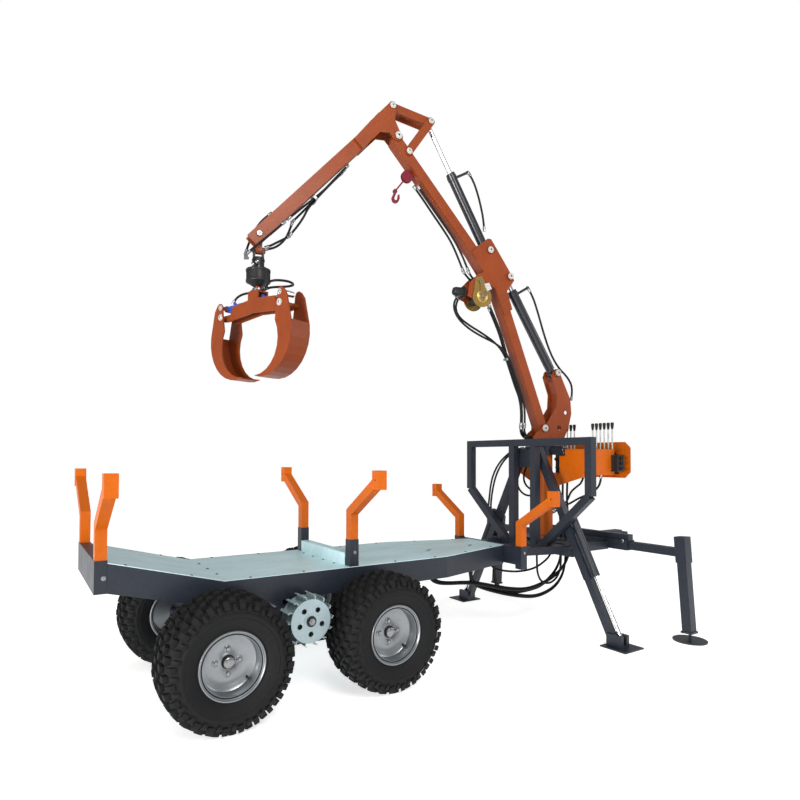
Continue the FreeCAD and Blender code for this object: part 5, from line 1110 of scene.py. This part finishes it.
LEVER_STEPS = (0, 1, 2, 3, 4, 9, 10, 11, 12, 13, 14)
LEVER_PITCH = 31
SECTIONS = 15
SPOOL_UP = 1112
PLUG_UP = 1050


def lever_side(step):
    return box("valve_levers")[1].y / MM - 11 - LEVER_PITCH * step


def control_valves():
    """Cast valve sections in the console with spool caps, plugs, boots and long white levers."""
    bank_low, bank_high = box("valve_bank")
    lever_low, lever_high = box("valve_levers")
    middle = (lever_low.x + lever_high.x) / 2 / MM
    cast, stems, knobs = Shape(), Shape(), Shape()
    plain = Matrix.Scale(MM, 4)
    for step in range(SECTIONS):
        side = lever_side(step)
        cast.bar(plain, (bank_low.x / MM - 5, bank_high.x / MM + 6), (side - 13.5, side + 13.5),
                 (bank_low.z / MM + 8, bank_high.z / MM - 12), 3)
        for front, reach in ((bank_high.x / MM + 5, 16), (bank_low.x / MM - 4, -20)):
            deep = abs(reach)
            cast.lathe(facing(Vector((front, side, SPOOL_UP)) * MM, ROWX * reach), [
                (0, 0), (11.5, 0), (11.5, deep - 4), (9, deep), (0, deep)], 20)
            cast.lathe(facing(Vector((front, side, PLUG_UP)) * MM, ROWX * reach), [
                (0, 0), (9, 0), (9, deep * 0.5), (7, deep * 0.6), (0, deep * 0.6)], 6)
        if step not in LEVER_STEPS:
            continue
        foot = Vector((middle, side, bank_high.z / MM - 13)) * MM
        cast.lathe(facing(foot, UP), [
            (0, 0), (11, 0), (11, 8), (8, 11), (9, 14), (6.5, 18), (7.5, 21), (4.5, 26), (0, 26)], 20)
        stems.disc(facing(foot, UP), 5, 20, (lever_high.z - foot.z) / MM - 40, 12)
        knobs.lathe(facing(Vector((middle, side, lever_high.z / MM - 48)) * MM, UP), [
            (0, 0), (6, 0), (7, 3), (8.5, 12), (10, 24), (11, 36), (10.5, 43), (7.5, 47.4), (0, 48)], 20)
    side = bank_low.y / MM - 14
    for shift in (0, 32):
        cast.bar(plain, (bank_low.x / MM + 2, bank_high.x / MM - 4), (side - shift - 18, side - shift + 12),
                 (1028, 1142), 4)
    for up in (1050, 1086, 1120):
        cast.lathe(facing(Vector((middle, side - 50, up)) * MM, -LEFT), [
            (0, 0), (13, 0), (13, 10), (10, 12), (10, 20), (0, 20)], 20)
    cast.piece("valve_sections", "trailer", "cast_black")
    for shape, name, material in ((stems, "lever_stems", "white_steel"), (knobs, "lever_knobs", "lever")):
        piece = shape.piece(name, "trailer", material, "lever")
        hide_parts("valve_levers")


# --------------------------------------------------------------- chassis fastenings

DECK_TOP = 570.3
DECK_KINK = -353
DECK_HALF = 312
TAPER_FROM = 906
TAPER_TO = 1490
TAPER_HALF = 160
RAMP_RISE = (box("deck")[1].z / MM - DECK_TOP) / (DECK_KINK - (box("deck")[0].x - SHAFT[0]) / MM)


def deck_height(ahead):
    """The deck's top, level ahead of the kink and rising behind it."""
    return DECK_TOP + max(0, DECK_KINK - ahead) * RAMP_RISE


def deck_half(ahead):
    """Half the deck's width: ahead of the taper's start it narrows evenly."""
    return DECK_HALF - max(0, ahead - TAPER_FROM) * (DECK_HALF - TAPER_HALF) / (TAPER_TO - TAPER_FROM)


def deck_screws():
    """Round-headed screws along the deck's edges and across it at the bolster and the kink."""
    shape = Shape()
    places = []
    for ahead in range(-760, 1361, 265):
        places += [(ahead, sign * (deck_half(ahead) - 14)) for sign in (1, -1)]
    places += [(ahead, aside) for ahead in (262, 358) for aside in (-180, -60, 60, 180)]
    places += [(DECK_KINK + 14, aside) for aside in (-150, 0, 150)]
    for ahead, aside in places:
        slope = RAMP_RISE if ahead < DECK_KINK else 0
        shape.lathe(facing(at(ahead, aside, deck_height(ahead) - 0.4), Vector((slope, 0, 1))), [
            (0, 0), (7, 0), (6.6, 1.6), (4.6, 3), (1.6, 3.2), (1.4, 1.6), (0, 1.6)], 16)
    shape.piece("deck_screws", "trailer", "cast_black")


def bolster_cover():
    """The pale folded sheet over the middle bolster's cross bar."""
    low, high = box("middle_bolster")
    shape = Shape()
    front, back = high.x / MM, low.x / MM
    reach = high.y / MM - 54
    outline = [(back - 1.5, DECK_TOP), (back - 1.5, 630), (back, 632), (front, 632), (front + 1.5, 630),
               (front + 1.5, DECK_TOP)]
    place = Matrix(((1, 0, 0, 0), (0, 0, 1, 0), (0, 1, 0, 0), (0, 0, 0, 1)))
    shape.prism(Matrix.Scale(MM, 4) @ place, outline, -reach, reach)
    shape.piece("bolster_cover", "trailer", "galvanised")


def chassis_bolts():
    """Plated bolts on the stake pockets, the outrigger beam, the column's foot and the housing."""
    shape = Shape()
    for sign in (1, -1):
        for ahead, up in ((-842, 632), (310, 640), (1515, 535)):
            shape.bolt(at(ahead, sign * 309, up), LEFT * sign, 9)
        shape.bolt(at(2366, sign * 400, 560), -ROWX, 14)
        shape.bolt(at(2434, sign * 400, 560), ROWX, 14)
    for x, y in circle(64, 8, 0.5):
        shape.bolt(Vector((COLUMN.x + x * MM, COLUMN.y + y * MM, 572 * MM)), UP, 12)
    for sign in (1, -1):
        end = Vector((COLUMN.x, sign * 170 * MM, 1173 * MM))
        for x, z in circle(22, 6):
            shape.bolt(end + (ROWX * x + UP * z) * MM, LEFT * sign, 7, washer=False)
    shape.piece("chassis_bolts", "trailer", "steel")


def shaft_nuts():
    """Washer and stepped nut at each end of the bogie shaft, inside the roller."""
    shape = Shape()
    for sign in (1, -1):
        place = facing(at(0, sign * 450, SHAFT[2] / MM), LEFT * sign)
        shape.disc(place, 27, 0, 3, 32)
        shape.lathe(place, [(0, 3), (17, 3), (17, 13), (15, 16), (8, 16), (8, 19), (0, 19)], 6)
    shape.piece("shaft_nuts", "trailer", "steel")


# ------------------------------------------------------------------- CAD finishes

def round_edges(thing, width):
    """Soften a hard-surface node's edges with modifiers only, its mesh unchanged."""
    dissolve = thing.modifiers.new("merge", "DECIMATE")
    dissolve.decimate_type = "DISSOLVE"
    dissolve.angle_limit = math.radians(0.6)
    bevel = thing.modifiers.new("edge", "BEVEL")
    bevel.width = width * MM
    bevel.segments = 2
    bevel.limit_method = "ANGLE"
    bevel.angle_limit = math.radians(32)
    bevel.harden_normals = True


# Nodes that wear another material than their slot's, and the width of softened edges in millimetres
BRIGHTER = {"valve_console": "orange"}
ROUNDED = {
    "stakes": 2.5, "headboard": 2, "bed_frame": 1.5, "crane_subframe": 2, "outrigger_arm_left": 2.5,
    "outrigger_arm_right": 2.5, "valve_console": 1.5, "main_boom": 1.5, "jib": 1.5, "kingpost": 1.2,
}


def finish_nodes():
    for node, thing in NODES.items():
        material = MATERIAL[BRIGHTER.get(node, SLOT_OF[node])]
        for slot in thing.material_slots:
            slot.material = material
        if not thing.material_slots:
            thing.data.materials.append(material)
        if node in ROUNDED:
            round_edges(thing, ROUNDED[node])


# Half the floor's side in millimetres
FLOOR_REACH = 30000


def lay_floor():
    shape = Shape()
    corners = [(x * FLOOR_REACH, y * FLOOR_REACH) for x, y in ((-1, -1), (1, -1), (1, 1), (-1, 1))]
    shape.prism(Matrix.Scale(MM, 4), corners, -20, -0.5)
    data = shape.data("floor", outward=False)
    data.materials.append(MATERIAL["floor"])
    link("floor", data)


bed_hoses()
tyres()
rims()
crane_pins()
grapple_hoses()
grapple_details()
rotator_details()
cylinder_details()
hose_clamps()
joining_hoses()
winch()
rollers()
control_valves()
deck_screws()
bolster_cover()
chassis_bolts()
shaft_nuts()
finish_nodes()
lay_floor()
